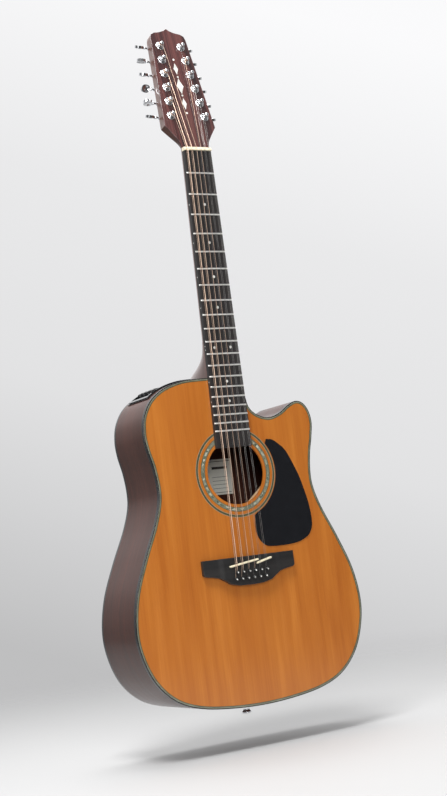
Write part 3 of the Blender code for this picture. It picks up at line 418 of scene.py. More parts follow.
def plain(name, colour, roughness, coat=0.0, metallic=0.0, mottle=0.12, grit=0.0):
    """A moulded or polished surface: faint cloudiness, a little uneven gloss and fine grit."""
    made = Finish(name, colour, roughness, metallic, coat)
    cloud = made.noise(made.place((60, 60, 60)), 3.0)
    dark = tuple(c * (1 - mottle) for c in colour)
    light = tuple(min(1, c * (1 + mottle)) for c in colour)
    made.drive("Base Color", made.ramp(cloud, [(0.3, dark), (0.7, light)]))
    made.vary_roughness(cloud, roughness * 0.75, roughness * 1.3)
    if grit:
        made.bump(made.noise(made.place((2500, 2500, 2500)), 2.0), grit, 0.05 * MM)
    return made.material


def abalone(name):
    """Shell chips of silver, green and rose, each with its own ripple, in their bumps and as painted
    sheen in their colour.
    """
    made = Finish(name, (0.4, 0.45, 0.4), 0.18, coat=1.0)
    chips = made.node("TexVoronoi", Vector=made.place((240, 240, 240)), Scale=1.0)
    hue = made.node("SeparateXYZ", Vector=chips.outputs["Color"]).outputs["X"]
    colour = made.ramp(hue, [
        (0.0, (0.08, 0.10, 0.08)), (0.25, (0.21, 0.23, 0.17)), (0.45, (0.58, 0.58, 0.49)),
        (0.6, (0.12, 0.15, 0.11)), (0.8, (0.29, 0.26, 0.19)), (1.0, (0.17, 0.20, 0.16)),
    ])
    ripple = made.noise(made.place((900, 900, 400)), 3.0, 2.0)
    # painted sheen: the ripple brightens and darkens the chips' colour
    sheen = made.ramp(ripple, [(0.3, (0.55, 0.6, 0.58)), (0.7, (1.25, 1.22, 1.15))])
    made.drive("Base Color", made.tint(colour, sheen, 0.8))
    made.bump(ripple, 0.08, 0.1 * MM)
    return made.material


def wound(name, colour, painted_groove_shade, pitch):
    """A string's wrap wire: ridges across a string that runs up the neck, with painted shade in the
    grooves between them.
    """
    made = Finish(name, colour, 0.45, 0.75)
    ridges = made.node("TexWave", Vector=made.place((1, 1, 1)), Scale=0.5 * math.pi / pitch / 10)
    ridges.bands_direction = "Z"
    height = ridges.outputs["Fac"]
    worn = made.noise(made.place((400, 400, 25)), 2.0)
    bright = made.ramp(worn, [(0.3, tuple(0.8 * c for c in colour)), (0.7, colour)])
    # painted shade: the colour is multiplied darker in the grooves between the wraps
    shade = made.ramp(height, [(0.0, painted_groove_shade), (0.5, (1, 1, 1))])
    made.drive("Base Color", made.tint(bright, shade, 0.7))
    made.bump(height, 0.5, 0.04 * MM)
    return made.material


AMBER_TOP = wood(
    "amber_top",
    ((0.375, 0.102, 0.0095), (0.43, 0.127, 0.0130), (0.47, 0.147, 0.0165), (0.52, 0.173, 0.022)),
    upright, (0.32, 0.5), broad=(45.0, 4.0), streaky=0.22, figure=0.3,
)
MAHOGANY_SIDES = wood(
    "mahogany_sides",
    ((0.036, 0.011, 0.007), (0.062, 0.020, 0.013), (0.092, 0.031, 0.021)),
    side_grain, (0.35, 0.33), pores=0.5, sheen=0.14,
)
MAHOGANY_BACK = wood(
    "mahogany_back",
    ((0.030, 0.010, 0.007), (0.055, 0.018, 0.012), (0.085, 0.030, 0.019)),
    upright, (0.3, 1.0), pores=0.5, figure=0.4,
)
MAHOGANY_NECK = wood(
    "mahogany_neck",
    ((0.072, 0.029, 0.021), (0.115, 0.047, 0.034), (0.160, 0.069, 0.051)),
    upright, (0.3, 1.0), pores=0.35,
)
HEADPLATE_WOOD = wood(
    "rosewood_headplate",
    ((0.010, 0.005, 0.006), (0.044, 0.013, 0.013), (0.115, 0.037, 0.033), (0.060, 0.018, 0.016)),
    upright, (0.28, 0.9), pores=0.15, turn=(HEAD_TILT, 0, 0), broad=(110.0, 1.3),
)
BOARD_WOOD = wood(
    "rosewood_board",
    ((0.009, 0.008, 0.008), (0.015, 0.013, 0.0135), (0.026, 0.021, 0.020)),
    upright, (0.42, 0.0), pores=0.2, broad=(90.0, 1.3),
)
BRIDGE_WOOD = wood(
    "black_bridge_wood",
    ((0.008, 0.008, 0.008), (0.014, 0.013, 0.013), (0.022, 0.020, 0.019)),
    crosswise, (0.4, 0.15), pores=0.5, broad=(60.0, 1.3),
)
BARE_SPRUCE = wood(
    "bare_spruce",
    ((0.42, 0.27, 0.14), (0.55, 0.38, 0.21), (0.62, 0.45, 0.27)),
    crosswise, (0.75, 0.0),
)
BARE_MAHOGANY = wood(
    "bare_mahogany",
    ((0.13, 0.05, 0.025), (0.22, 0.09, 0.045), (0.30, 0.13, 0.07)),
    crosswise, (0.75, 0.0), pores=0.5,
)
BLACK_BINDING = plain("black_binding", (0.008, 0.009, 0.010), 0.25, coat=0.2)
CREAM_LINE = plain("cream_line", (0.27, 0.26, 0.19), 0.3, coat=0.6)
SHELL_LINE = plain("grey_green_line", (0.135, 0.145, 0.098), 0.3, coat=0.6, mottle=0.35)
OLIVE_LINE = plain("olive_line", (0.065, 0.066, 0.030), 0.3, coat=0.6)
BLACK_PICKGUARD = plain("black_pickguard", (0.0075, 0.008, 0.010), 0.16, coat=0.3)
BLACK_PLASTIC = plain("black_plastic", (0.012, 0.013, 0.014), 0.34, grit=0.12)
GLOSS_BLACK = plain("gloss_black_plastic", (0.009, 0.010, 0.011), 0.14, coat=0.6)
DISPLAY = plain("display_window", (0.030, 0.006, 0.005), 0.08, coat=1.0)
PALE_PRINT = plain("pale_marking", (0.62, 0.62, 0.60), 0.5)
BONE = plain("bone", (0.80, 0.72, 0.52), 0.35, coat=0.25, mottle=0.07)
PEARL = plain("pearl", (0.66, 0.66, 0.62), 0.2, coat=1.0, mottle=0.22)
PAPER = plain("label_paper", (0.72, 0.71, 0.64), 0.85, grit=0.25, mottle=0.05)
INK = plain("label_lines", (0.05, 0.045, 0.04), 0.8)
CHROME = plain("chrome", (0.78, 0.79, 0.81), 0.1, metallic=1.0, mottle=0.04)
NICKEL = plain("fret_nickel", (0.86, 0.85, 0.82), 0.42, metallic=0.8, mottle=0.05)
STEEL = plain("steel", (0.45, 0.45, 0.46), 0.35, metallic=1.0, grit=0.1)
PLAIN_STRING = plain("plain_steel_string", (0.24, 0.23, 0.22), 0.35, metallic=1.0, mottle=0.1)
# its second colour is painted shade for the grooves between the wraps
WOUND_STRING = wound("bronze_wound_string", (0.82, 0.61, 0.47), (0.5, 0.42, 0.38), 0.35 * MM)
ABALONE = abalone("abalone")


# ---- shapes

def mm(*lengths):
    """Millimetres as metres."""
    return tuple(length * MM for length in lengths)


def shift(x, y, z):
    return Matrix.Translation(mm(x, y, z))


def turn_about(axis, angle):
    return Matrix.Rotation(angle, 4, axis)


def from_mesh(mesh):
    obj = bpy.data.objects.new("blank", mesh)
    bpy.context.scene.collection.objects.link(obj)
    return obj


def from_bmesh(bm):
    bmesh.ops.recalc_face_normals(bm, faces=bm.faces)
    mesh = bpy.data.meshes.new("blank")
    bm.to_mesh(mesh)
    bm.free()
    return from_mesh(mesh)


def keep_shape(obj):
    """The object as a mesh, with its modifiers or its curve made real."""
    graph = bpy.context.evaluated_depsgraph_get()
    mesh = bpy.data.meshes.new_from_object(obj.evaluated_get(graph))
    bpy.data.objects.remove(obj)
    return from_mesh(mesh)


def moved(obj, place):
    """Moves the mesh, welds loose caps and turns the faces outwards."""
    bm = bmesh.new()
    bm.from_mesh(obj.data)
    bmesh.ops.remove_doubles(bm, verts=bm.verts, dist=1e-6)
    bmesh.ops.transform(bm, matrix=place, verts=bm.verts)
    bmesh.ops.recalc_face_normals(bm, faces=bm.faces)
    bm.to_mesh(obj.data)
    bm.free()
    return obj


def bevelled(obj, width, segments=2, sharper_than=40):
    """Bevels the edges that are sharper than an angle in degrees."""
    bevel = obj.modifiers.new("Ease", "BEVEL")
    bevel.width = width
    bevel.segments = segments
    bevel.limit_method = "ANGLE"
    bevel.angle_limit = math.radians(sharper_than)
    return obj


def ease(obj, width, segments=2, sharper_than=40):
    return keep_shape(bevelled(obj, width, segments, sharper_than))


def box(low, high, place=Matrix(), edge=0.0):
    centre = (Vector(low) + Vector(high)) / 2
    size = Vector(high) - Vector(low)
    bm = bmesh.new()
    bmesh.ops.create_cube(
        bm, size=1, matrix=place @ Matrix.Translation(centre) @ Matrix.Diagonal((*size, 1))
    )
    made = from_bmesh(bm)
    return ease(made, edge, 3) if edge else made


def rod(start, end, radius, place=Matrix(), segments=24):
    start, end = Vector(start), Vector(end)
    turn = (end - start).to_track_quat("Z", "Y").to_matrix().to_4x4()
    bm = bmesh.new()
    bmesh.ops.create_cone(
        bm, cap_ends=True, segments=segments, radius1=radius, radius2=radius,
        depth=(end - start).length, matrix=place @ Matrix.Translation((start + end) / 2) @ turn,
    )
    return from_bmesh(bm)


def slab(loops, low, high, place=Matrix()):
    """A flat outline with its holes, from low to high along the place's own Z."""
    curve = bpy.data.curves.new("outline", "CURVE")
    curve.dimensions = "2D"
    curve.fill_mode = "BOTH"
    curve.extrude = (high - low) / 2
    for loop in loops:
        spline = curve.splines.new("POLY")
        spline.points.add(len(loop) - 1)
        for point, (a, b) in zip(spline.points, loop):
            point.co = (a, b, 0, 1)
        spline.use_cyclic_u = True
    return moved(keep_shape(from_mesh(curve)), place @ Matrix.Translation((0, 0, (low + high) / 2)))


def turned(profile, place=Matrix(), segments=32):
    """A profile of radius and height in millimetres, down its outer side, turned about Z."""
    mesh = bpy.data.meshes.new("profile")
    points = [(radius * MM, 0, height * MM) for radius, height in profile]
    mesh.from_pydata(points, [(i, i + 1) for i in range(len(points) - 1)], [])
    obj = from_mesh(mesh)
    screw = obj.modifiers.new("Turn", "SCREW")
    screw.axis = "Z"
    screw.steps = segments
    screw.render_steps = segments
    screw.use_merge_vertices = True
    screw.merge_threshold = 1e-6
    return moved(keep_shape(obj), place)


def loft(sections, closed=False):
    """A solid through sections that have the same number of points, capped unless it closes."""
    bm = bmesh.new()
    rings = [[bm.verts.new(point) for point in section] for section in sections]
    pairs = list(zip(rings, rings[1:]))
    if closed:
        pairs.append((rings[-1], rings[0]))
    for near, far in pairs:
        for i in range(len(near)):
            j = (i + 1) % len(near)
            bm.faces.new((near[i], near[j], far[j], far[i]))
    if not closed:
        bm.faces.new(rings[0])
        bm.faces.new(rings[-1])
    return from_bmesh(bm)


def wire(points, radius):
    curve = bpy.data.curves.new("wire", "CURVE")
    curve.dimensions = "3D"
    curve.bevel_depth = radius
    curve.bevel_resolution = 2
    curve.use_fill_caps = True
    spline = curve.splines.new("POLY")
    spline.points.add(len(points) - 1)
    for point, place in zip(spline.points, points):
        point.co = (*place, 1)
    return moved(keep_shape(from_mesh(curve)), Matrix())


def stud(radius, top, place):
    """A disc let 1 mm into a surface, its radius and top in millimetres."""
    return turned(((0, top), (radius, top), (radius, -1), (0, -1)), place)


def combine(target, other, operation):
    modifier = target.modifiers.new("Combine", "BOOLEAN")
    modifier.operation = operation
    modifier.solver = "EXACT"
    modifier.object = other
    made = keep_shape(target)
    bpy.data.objects.remove(other)
    return made


def join(target, *others):
    for other in others:
        target = combine(target, other, "UNION")
    return target


def cut(target, *others):
    for other in others:
        target = combine(target, other, "DIFFERENCE")
    return target


def gather(solids):
    """Solids that don't touch each other, put into one mesh."""
    bm = bmesh.new()
    for solid in solids:
        bm.from_mesh(solid.data)
        bpy.data.objects.remove(solid)
    return from_bmesh(bm)


def piece(name, obj, finish, body=BODY, stands_for=(), smooth_to=40):
    """Names and finishes a piece, which rides on a body and may stand for CAD nodes."""
    obj.name = name
    obj.data.name = name
    obj.data.materials.clear()
    obj.data.materials.append(finish)
    obj.data.shade_smooth()
    obj.data.set_sharp_from_angle(angle=math.radians(smooth_to))
    normals = obj.modifiers.new("Normals", "WEIGHTED_NORMAL")
    normals.keep_sharp = True
    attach(obj, body)
    if stands_for:
        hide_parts(*stands_for)
    return obj


def refinish(name, finish, edge):
    """Gives a CAD node that keeps its shape a finish, and eased edges."""
    node = frame["nodes"][name]
    node.data.materials.clear()
    node.data.materials.append(finish)
    bevelled(node, edge)


# ---- outlines

def beyond(end, before):
    """The point past a curve's end: a mirror image on the centre line, or else straight on."""
    if end[0] == 0:
        return (-before[0], before[1])
    return (2 * end[0] - before[0], 2 * end[1] - before[1])


def smooth(points, steps=OUTLINE_STEPS):
    """A Catmull-Rom curve through points given in millimetres."""
    first = beyond(points[0], points[1])
    last = beyond(points[-1], points[-2])
    padded = [Vector(p) * MM for p in (first, *points, last)]
    curve = []
    for a, b, c, d in zip(padded, padded[1:], padded[2:], padded[3:]):
        for k in range(steps):
            t = k / steps
            curve.append(
                (2 * b + (c - a) * t + (2 * a - 5 * b + 4 * c - d) * t**2
                 + (3 * b - a - 3 * c + d) * t**3) / 2
            )
    curve.append(padded[-2])
    return curve


def offset(path, distance, closed=True):
    """The path moved to its left by distance, with mitred corners."""
    moved_path = []
    for i, here in enumerate(path):
        behind = here - path[i - 1]
        ahead = path[(i + 1) % len(path)] - here
        if not closed and i == 0:
            behind = ahead
        if not closed and i == len(path) - 1:
            ahead = behind
        one = Vector((-behind.y, behind.x)).normalized()
        two = Vector((-ahead.y, ahead.x)).normalized()
        moved_path.append(here + distance * (one + two) / (1 + one.dot(two)))
    return moved_path


def circle(centre, radius, segments=96):
    turns = [2 * math.pi * k / segments for k in range(segments)]
    return [(centre[0] + radius * math.cos(a), centre[1] + radius * math.sin(a)) for a in turns]


BASS_HALF = [Vector((-p.x, p.y)) for p in smooth(HALF_OUTLINE)]
TREBLE_LOWER = smooth(HALF_OUTLINE)[: (TREBLE_LEAVES_AT - 1) * OUTLINE_STEPS]
CUTAWAY = smooth(HALF_OUTLINE[TREBLE_LEAVES_AT - 2:TREBLE_LEAVES_AT]
                 + CUTAWAY_OUTLINE)[OUTLINE_STEPS:]
TREBLE_HALF = TREBLE_LOWER + CUTAWAY + [Vector((0, BODY_LENGTH))]
BODY_LOOP = TREBLE_HALF[:-1] + BASS_HALF[:0:-1]

# Places: the local plane's X, Y and Z as columns
FRONT = Matrix(((1, 0, 0, 0), (0, 0, -1, 0), (0, 1, 0, 0), (0, 0, 0, 1)))


def plate(loops, front, back):
    """A slab parallel to the soundboard, between two depths."""
    return slab(loops, -back, -front, FRONT)


def back_outer(x, z):
    arch = (WIDEST_HALF**2 - x**2) / (2 * BACK_ARCH_RADIUS)
    return DEPTH_AT_TAIL - DEPTH_SLOPE * z + arch


def from_back(lift):
    """The depth at a place on the rim, millimetres in front of the back's outer face."""
    return lambda x, z: back_outer(x, z) - lift * MM


def on_back(section):
    return [(inset, from_back(depth)) for inset, depth in section]


def strip(outer, inner, depth):
    """The section of a line let into a face, between two insets."""
    return [(outer, 0), (inner, 0), (inner, depth), (outer, depth)]


def sweep(path, section, closed=True):
    """A strip along the rim. Its section gives, in millimetres or by from_back, inset and depth."""
    rails = []
    for inset, depth in section:
        line = offset(path, inset * MM, closed)
        rails.append([
            (p.x, depth(p.x, p.y) if callable(depth) else depth * MM, p.y) for p in line
        ])
    return loft(list(zip(*rails)), closed)


# ---- body

def course(index):
    """Which course a string is in, and which side of its pair, -1 or +1."""
    return index // 2 - (COURSES - 1) / 2, -1 + 2 * (index % 2)


def pin_place(index):
    middle, side = course(index)
    return middle * COURSE_SPACING + side * PIN_STAGGER, PIN_ROWS[index % 2]


def soundhole_ring(outer, inner):
    centre = (0, SOUNDHOLE_HEIGHT)
    return [circle(centre, outer * MM), circle(centre, inner * MM)]


# Rings let into the top round the soundhole: outer and inner radius in millimetres, and finish
ROSETTE_RINGS = (
    ("rosette_dark_rings", OLIVE_LINE, ((54.3, 53.5), (60.5, 59.7), (68.4, 65.7))),
    ("rosette_grey_rings", SHELL_LINE, ((55.5, 54.6), (59.4, 58.5))),
    ("rosette_pale_rings", CREAM_LINE, ((54.6, 54.3), (59.7, 59.4), (65.7, 65.0), (69.1, 68.4))),
    ("rosette_shell", ABALONE, ((58.5, 55.5),)),
)
ROSETTE_CHANNELS = ((60.5, 53.5), (69.1, 65.0))

# Lines round the top, outside in: finish, and inset of the outer and inner edge in millimetres
EDGE_LINES = (
    ("top_cream_line", CREAM_LINE, 1.6, 2.1),
    ("top_shell_line", SHELL_LINE, 2.1, 3.6),
    ("top_olive_line", OLIVE_LINE, 3.6, 4.5),
)


def soundboard():
    face = offset(BODY_LOOP, BINDING_WIDTH + PURFLING_WIDTH)
    hole = circle((0, SOUNDHOLE_HEIGHT), SOUNDHOLE_RADIUS)
    board = plate([face, hole], 0, SOUNDBOARD_THICKNESS)
    channels = [
        plate(soundhole_ring(*radii), -1 * MM, ROSETTE_DEPTH) for radii in ROSETTE_CHANNELS
    ]
    piece("top_plate", cut(board, gather(channels)), AMBER_TOP, stands_for=["soundboard"])
    for name, finish, rings in ROSETTE_RINGS:
        solids = [plate(soundhole_ring(*radii), 0, ROSETTE_DEPTH) for radii in rings]
        piece(name, gather(solids), finish, stands_for=["rosette"])
    for name, finish, outer, inner in EDGE_LINES:
        line = sweep(BODY_LOOP, strip(outer, inner, 2.8))
        piece(name, line, finish, stands_for=["soundboard"])
    piece("top_binding", sweep(BODY_LOOP, BINDING_SECTION), BLACK_BINDING)


def back_panel():
    strips = 48
    sheet = plate([offset(BODY_LOOP, 2.1 * MM)], 0, BACK_THICKNESS)
    bm = bmesh.new()
    bm.from_mesh(sheet.data)
    bpy.data.objects.remove(sheet)
    for k in range(1, strips):
        everything = bm.verts[:] + bm.edges[:] + bm.faces[:]
        place = (WIDEST_HALF * (2 * k / strips - 1), 0, 0)
        bmesh.ops.bisect_plane(bm, geom=everything, plane_co=place, plane_no=(1, 0, 0), dist=1e-7)
    for vertex in bm.verts:
        lift = BACK_THICKNESS - vertex.co.y
        vertex.co.y = back_outer(vertex.co.x, vertex.co.z) - lift
    back = from_bmesh(bm)
    piece("back_plate", back, MAHOGANY_BACK, stands_for=["back_panel"], smooth_to=30)
    line = sweep(BODY_LOOP, on_back(strip(1.6, 2.1, 2.5)))
    piece("back_cream_line", line, CREAM_LINE, stands_for=["back_panel"])
    piece("back_binding", sweep(BODY_LOOP, on_back(BINDING_SECTION)), BLACK_BINDING)


def side_wall(path):
    return sweep(path, [
        (0, 6), (0, from_back(6)), (1.6, from_back(6)), (1.6, from_back(2.8)),
        (2.2, from_back(2.8)), (2.2, 3.0), (1.6, 3.0), (1.6, 6),
    ], closed=False)


def jack_hole():
    return rod((0, JACK_DEPTH, -5 * MM), (0, JACK_DEPTH, 40 * MM), JACK_HOLE_RADIUS)


def sides():
    window = preamp_box(3 * MM, (-8 * MM, 8 * MM))
    bass = cut(side_wall(BASS_HALF[::-1]), jack_hole(), window)
    piece("bass_side", bass, MAHOGANY_SIDES, stands_for=["side_bass"])
    treble = cut(side_wall(TREBLE_HALF), jack_hole())
    piece("treble_side", treble, MAHOGANY_SIDES, stands_for=["side_treble"])


def label_sheet(low, high, thickness, lift):
    """A sheet lying on the back's inner face between two corners in millimetres."""
    columns = 8
    (x0, z0), (x1, z1) = low, high
    sections = []
    for k in range(columns + 1):
        x = (x0 + (x1 - x0) * k / columns) * MM
        section = []
        for z, raised in ((z0, 0), (z1, 0), (z1, 1), (z0, 1)):
            base = back_outer(x, z * MM) - BACK_THICKNESS - lift
            section.append((x, base - raised * thickness, z * MM))
        sections.append(section)
    return loft(sections)


def label():
    """A plain paper label with a ruled frame and ruled lines, in sight through the soundhole."""
    (x0, z0), (x1, z1) = LABEL
    paper = label_sheet((x0, z0), (x1, z1), 0.2 * MM, 0)
    piece("label_paper", paper, PAPER)
    left, right = x0 + 3, x1 - 3
    rules = [((left, z1 - 4), (right, z1 - 3.2)), ((left, z0 + 3.2), (right, z0 + 4))]
    left, right = x0 + 8, x1 - 8
    rules.append(((left, z1 - 16), (right, z1 - 12)))
    rules += [((left, z0 + rise), (right, z0 + rise + 0.6)) for rise in (10, 16, 22, 28)]
    sheets = [label_sheet(*rule, 0.1 * MM, 0.2 * MM) for rule in rules]
    piece("label_rules", gather(sheets), INK)


def inside():
    for name in ("x_brace", "upper_brace", "tone_bar_1", "tone_bar_2", "back_bracing"):
        refinish(name, BARE_SPRUCE, 0.8 * MM)
    for name in ("lining_top", "lining_back", "neck_block", "tail_block", "bridge_plate"):
        refinish(name, BARE_MAHOGANY, 0.5 * MM)
    refinish("truss_rod", STEEL, 0.3 * MM)
    label()


def endpin():
    at = Matrix.Translation((0, JACK_DEPTH, 0))
    piece("endpin", turned(ENDPIN, at, 48), CHROME, stands_for=["endpin_jack"])


# ---- preamp

def station(distance):
    """A place on the bass side this far along it from the tail, and the way out from it there."""
    for near, far in zip(BASS_HALF, BASS_HALF[1:]):
        step = (far - near).length
        if distance <= step:
            break
        distance -= step
    along = (far - near).normalized()
    return near.lerp(far, distance / step), Vector((-along.y, along.x))


def smooth_station(distance):
    """The station with the way out averaged over a short stretch."""
    reach = 9 * MM
    total = Vector((0, 0))
    for k in range(-4, 5):
        total += station(distance + reach * k / 4)[1]
    return station(distance)[0], total.normalized()


def preamp_box(inset, heights):
    """A box bent along the side: the preamp's outline less an inset, between heights off it."""
    (start, end), (near, far) = PREAMP_SPAN, PREAMP_DEPTHS
    first, last = start + inset, end - inset
    count = 24
    places = [smooth_station(first + (last - first) * k / (count - 1)) for k in range(count)]
    outer = [here + outward * heights[1] for here, outward in places]
    inner = [here + outward * heights[0] for here, outward in places]
    return plate([outer + inner[::-1]], near + inset, far - inset)


def out_of_side(place, z_axis):
    """A frame on the side: X along it, Y into the body, Z outwards."""
    y_axis = Vector((0, 1, 0))
    turn = Matrix((y_axis.cross(z_axis), y_axis, z_axis)).transposed().to_4x4()
    return Matrix.Translation(place) @ turn


def panel_place(distance, depth):
    here, outward = smooth_station(distance)
    return out_of_side((here.x, depth, here.y), Vector((outward.x, 0, outward.y)))


def knob_place(name):
    joint = next(j for j in frame["joints"] if j["child"] == name)
    return out_of_side(joint["pos_m"], Vector(joint["axis"]))


def fluted_ring(radius, height, depth, place):
    """A circle in millimetres with shallow grip flutes."""
    count = 144
    points = []
    for k in range(count):
        angle = 2 * math.pi * k / count
        r = (radius - depth * (0.5 + 0.5 * math.cos(KNOB_FLUTES * angle))) * MM
        points.append(place @ Vector((r * math.cos(angle), r * math.sin(angle), height * MM)))
    return points


def rounded_box(half_x, half_y, low, high, place, corner, edge):
    """A box in millimetres with rounded corners and eased edges."""
    loop = []
    for k in range(24):
        angle = 2 * math.pi * (k + 0.5) / 24
        cx = math.copysign(half_x - corner, math.cos(angle))
        cy = math.copysign(half_y - corner, math.sin(angle))
        loop.append(((cx + corner * math.cos(angle)) * MM, (cy + corner * math.sin(angle)) * MM))
    return ease(slab([loop], low * MM, high * MM, place), edge * MM)


def knob(node):
    """A fluted knob with its pointer, and the printed scale round it."""
    at = knob_place(node)
    grip = [fluted_ring(*ring, at) for ring in KNOB_RINGS]
    piece(node + "_grip", loft(grip), BLACK_PLASTIC, node, [node])
    line = rounded_box(0.4, 1.7, 4.3, 4.6, at @ shift(0, -2.2, 0), 0.39, 0.1)
    piece(node + "_pointer", line, PALE_PRINT, node)
    ticks = []
    for k in range(-3, 4):
        spot = at @ turn_about("Z", KNOB_TICK_STEP * k) @ shift(0, -6.2, 0)
        ticks.append(box(mm(-0.2, -0.5, -3.6), mm(0.2, 0.5, -3.4), spot))
    piece(node + "_scale", gather(ticks), PALE_PRINT)


def preamp():
    case = preamp_box(0, (0.1 * MM, PREAMP_EDGE_PROUD))
    case = join(case, preamp_box(PREAMP_STEP, (0.6 * MM, PREAMP_PROUD)))
    tub = preamp_box(PREAMP_RIM, (PREAMP_TUB_FLOOR, 1.5 * MM))
    recess = preamp_box(PREAMP_RIM + PREAMP_WALL, (PREAMP_PANEL, 12 * MM))
    bay_at = panel_place(BATTERY_STATION, BATTERY_DEPTH)
    bay = box(mm(-12.2, -16.6, -56), mm(12.2, 16.6, -8), bay_at)
    room = box(mm(-10.6, -15.2, -54.5), mm(10.6, 15.2, 12), bay_at)
    case = ease(cut(join(case, tub, bay), recess, room), 0.5 * MM, 3, 60)
    piece("preamp_case", case, GLOSS_BLACK, stands_for=["preamp_housing"])
    for name in ("volume", "bass", "middle", "treble"):
        knob("preamp_knob_" + name)
    at = panel_place(DISPLAY_STATION, DISPLAY_DEPTH)
    piece("preamp_display", rounded_box(6.5, 11.5, -3.6, -2.6, at, 1.2, 0.4), DISPLAY)
    node = "preamp_tuner_button"
    at = panel_place(TUNER_BUTTON_STATION, TUNER_BUTTON_DEPTH)
    piece(node + "_cap", turned(PANEL_BUTTON, at), PALE_PRINT, node, [node])

    refinish("battery_tray", BLACK_PLASTIC, 0.4 * MM)
    refinish("battery", STEEL, 0.9 * MM)
    door = rounded_box(10.3, 15.0, 0.3, 1.5, bay_at, 1.5, 0.5)
    ribs = []
    for k in range(4):
        low, high = mm(-4, 8 + 1.6 * k, 1.2), mm(4, 8.8 + 1.6 * k, 2.1)
        ribs.append(box(low, high, bay_at, 0.3 * MM))
    piece("battery_door", join(door, gather(ribs)), GLOSS_BLACK, "battery_drawer")


# ---- neck

def fret_distance(number):
    return SCALE_LENGTH * (1 - 2 ** (-number / 12))


NUT_HEIGHT = BODY_LENGTH + fret_distance(BODY_FRET)
FRETBOARD_END = NUT_HEIGHT - FRETBOARD_LENGTH

HEAD = Matrix.Translation((0, HEAD_FACE_AT_NUT, NUT_HEIGHT)) @ Matrix((
    (1, 0, 0, 0),
    (0, math.sin(HEAD_TILT), -math.cos(HEAD_TILT), 0),
    (0, math.cos(HEAD_TILT), math.sin(HEAD_TILT), 0),
    (0, 0, 0, 1),
))


def board_half_width(height):
    return NUT_HALF_WIDTH + FRETBOARD_TAPER * (NUT_HEIGHT - height)


def board_top(x):
    """Depth of the fretboard's cambered playing face."""
    return FRETBOARD_TOP + x**2 / (2 * FRETBOARD_RADIUS)


def spread(half):
    """Places evenly across a cambered piece."""
    return [half * (2 * k / FLATS - 1) for k in range(FLATS + 1)]


def fretboard():
    sections = []
    for height in (FRETBOARD_END, NUT_HEIGHT):
        half = board_half_width(height)
        face = [(x, board_top(x), height) for x in spread(half)]
        sections.append(face + [(half, 0, height), (-half, 0, height)])
    board = ease(loft(sections), 0.4 * MM, 2, 60)
    piece("fretboard_wood", board, BOARD_WOOD, stands_for=["fretboard"])
    frets = [fret(number) for number in range(1, FRET_COUNT + 1)]
    piece("fret_wire", gather(frets), NICKEL, stands_for=["fretboard"], smooth_to=60)
    dots = []
    side_dots = []
    for number, spots in POSITION_DOTS:
        height = NUT_HEIGHT - (fret_distance(number) + fret_distance(number - 1)) / 2
        for x in spots:
            at = Matrix.Translation((x * MM, board_top(x * MM), height)) @ FRONT
            dots.append(stud(DOT_RADIUS / MM, 0.05, at))
            edge = Matrix.Translation((-board_half_width(height), -4 * MM, height + x / 5 * MM))
            side_dots.append(stud(1, 0.05, edge @ turn_about("Y", -math.pi / 2)))
    piece("fretboard_dots", gather(dots), PEARL)
    piece("fretboard_side_dots", gather(side_dots), PEARL)


def fret(number):
    """A crowned wire across the board, filed down at its ends."""
    middle = NUT_HEIGHT - fret_distance(number)
    half = board_half_width(middle)
    filed = 0.9 * MM
    stops = [(-half, 0.15), (-half + filed, 0.95)]
    stops += [(half * k / 8, 1.0) for k in range(-7, 8)]
    stops += [(half - filed, 0.95), (half, 0.15)]
    sections = []
    for x, share in stops:
        crown = [
            (x, board_top(x) - share * FRET_HEIGHT * math.sin(math.pi * k / 8),
             middle - FRET_WIDTH / 2 * math.cos(math.pi * k / 8))
            for k in range(9)
        ]
        root = [(x, board_top(x) + 0.8 * MM, middle + side * FRET_WIDTH / 2) for side in (1, -1)]
        sections.append(crown + root)
    return loft(sections)


def tenon():
    end, top = BODY_LENGTH - 21 * MM, BODY_LENGTH + 4 * MM
    outline = [(-14 * MM, end), (14 * MM, end), (10 * MM, top), (-10 * MM, top)]
    return plate([outline], 3.2 * MM, 78 * MM)


def half_round(half, depth, front, at, power=2.0):
    """A section behind a front line: half an ellipse, or squarer with a higher power."""
    flats = 28
    points = []
    for k in range(flats + 1):
        angle = math.pi * k / flats
        across = math.copysign(abs(math.cos(angle)) ** (2 / power), math.cos(angle))
        behind = max(0.0, math.sin(angle)) ** (2 / power)
        points.append(at(half * across, front + (depth - front) * behind))
    return points


def head_loop(half_outline=HEAD_HALF_OUTLINE, grow=0.0):
    right = [Vector((u, w)) * MM for u, w in half_outline]
    loop = right + [Vector((-p.x, p.y)) for p in right[-2::-1]]
    return offset(loop, -grow)


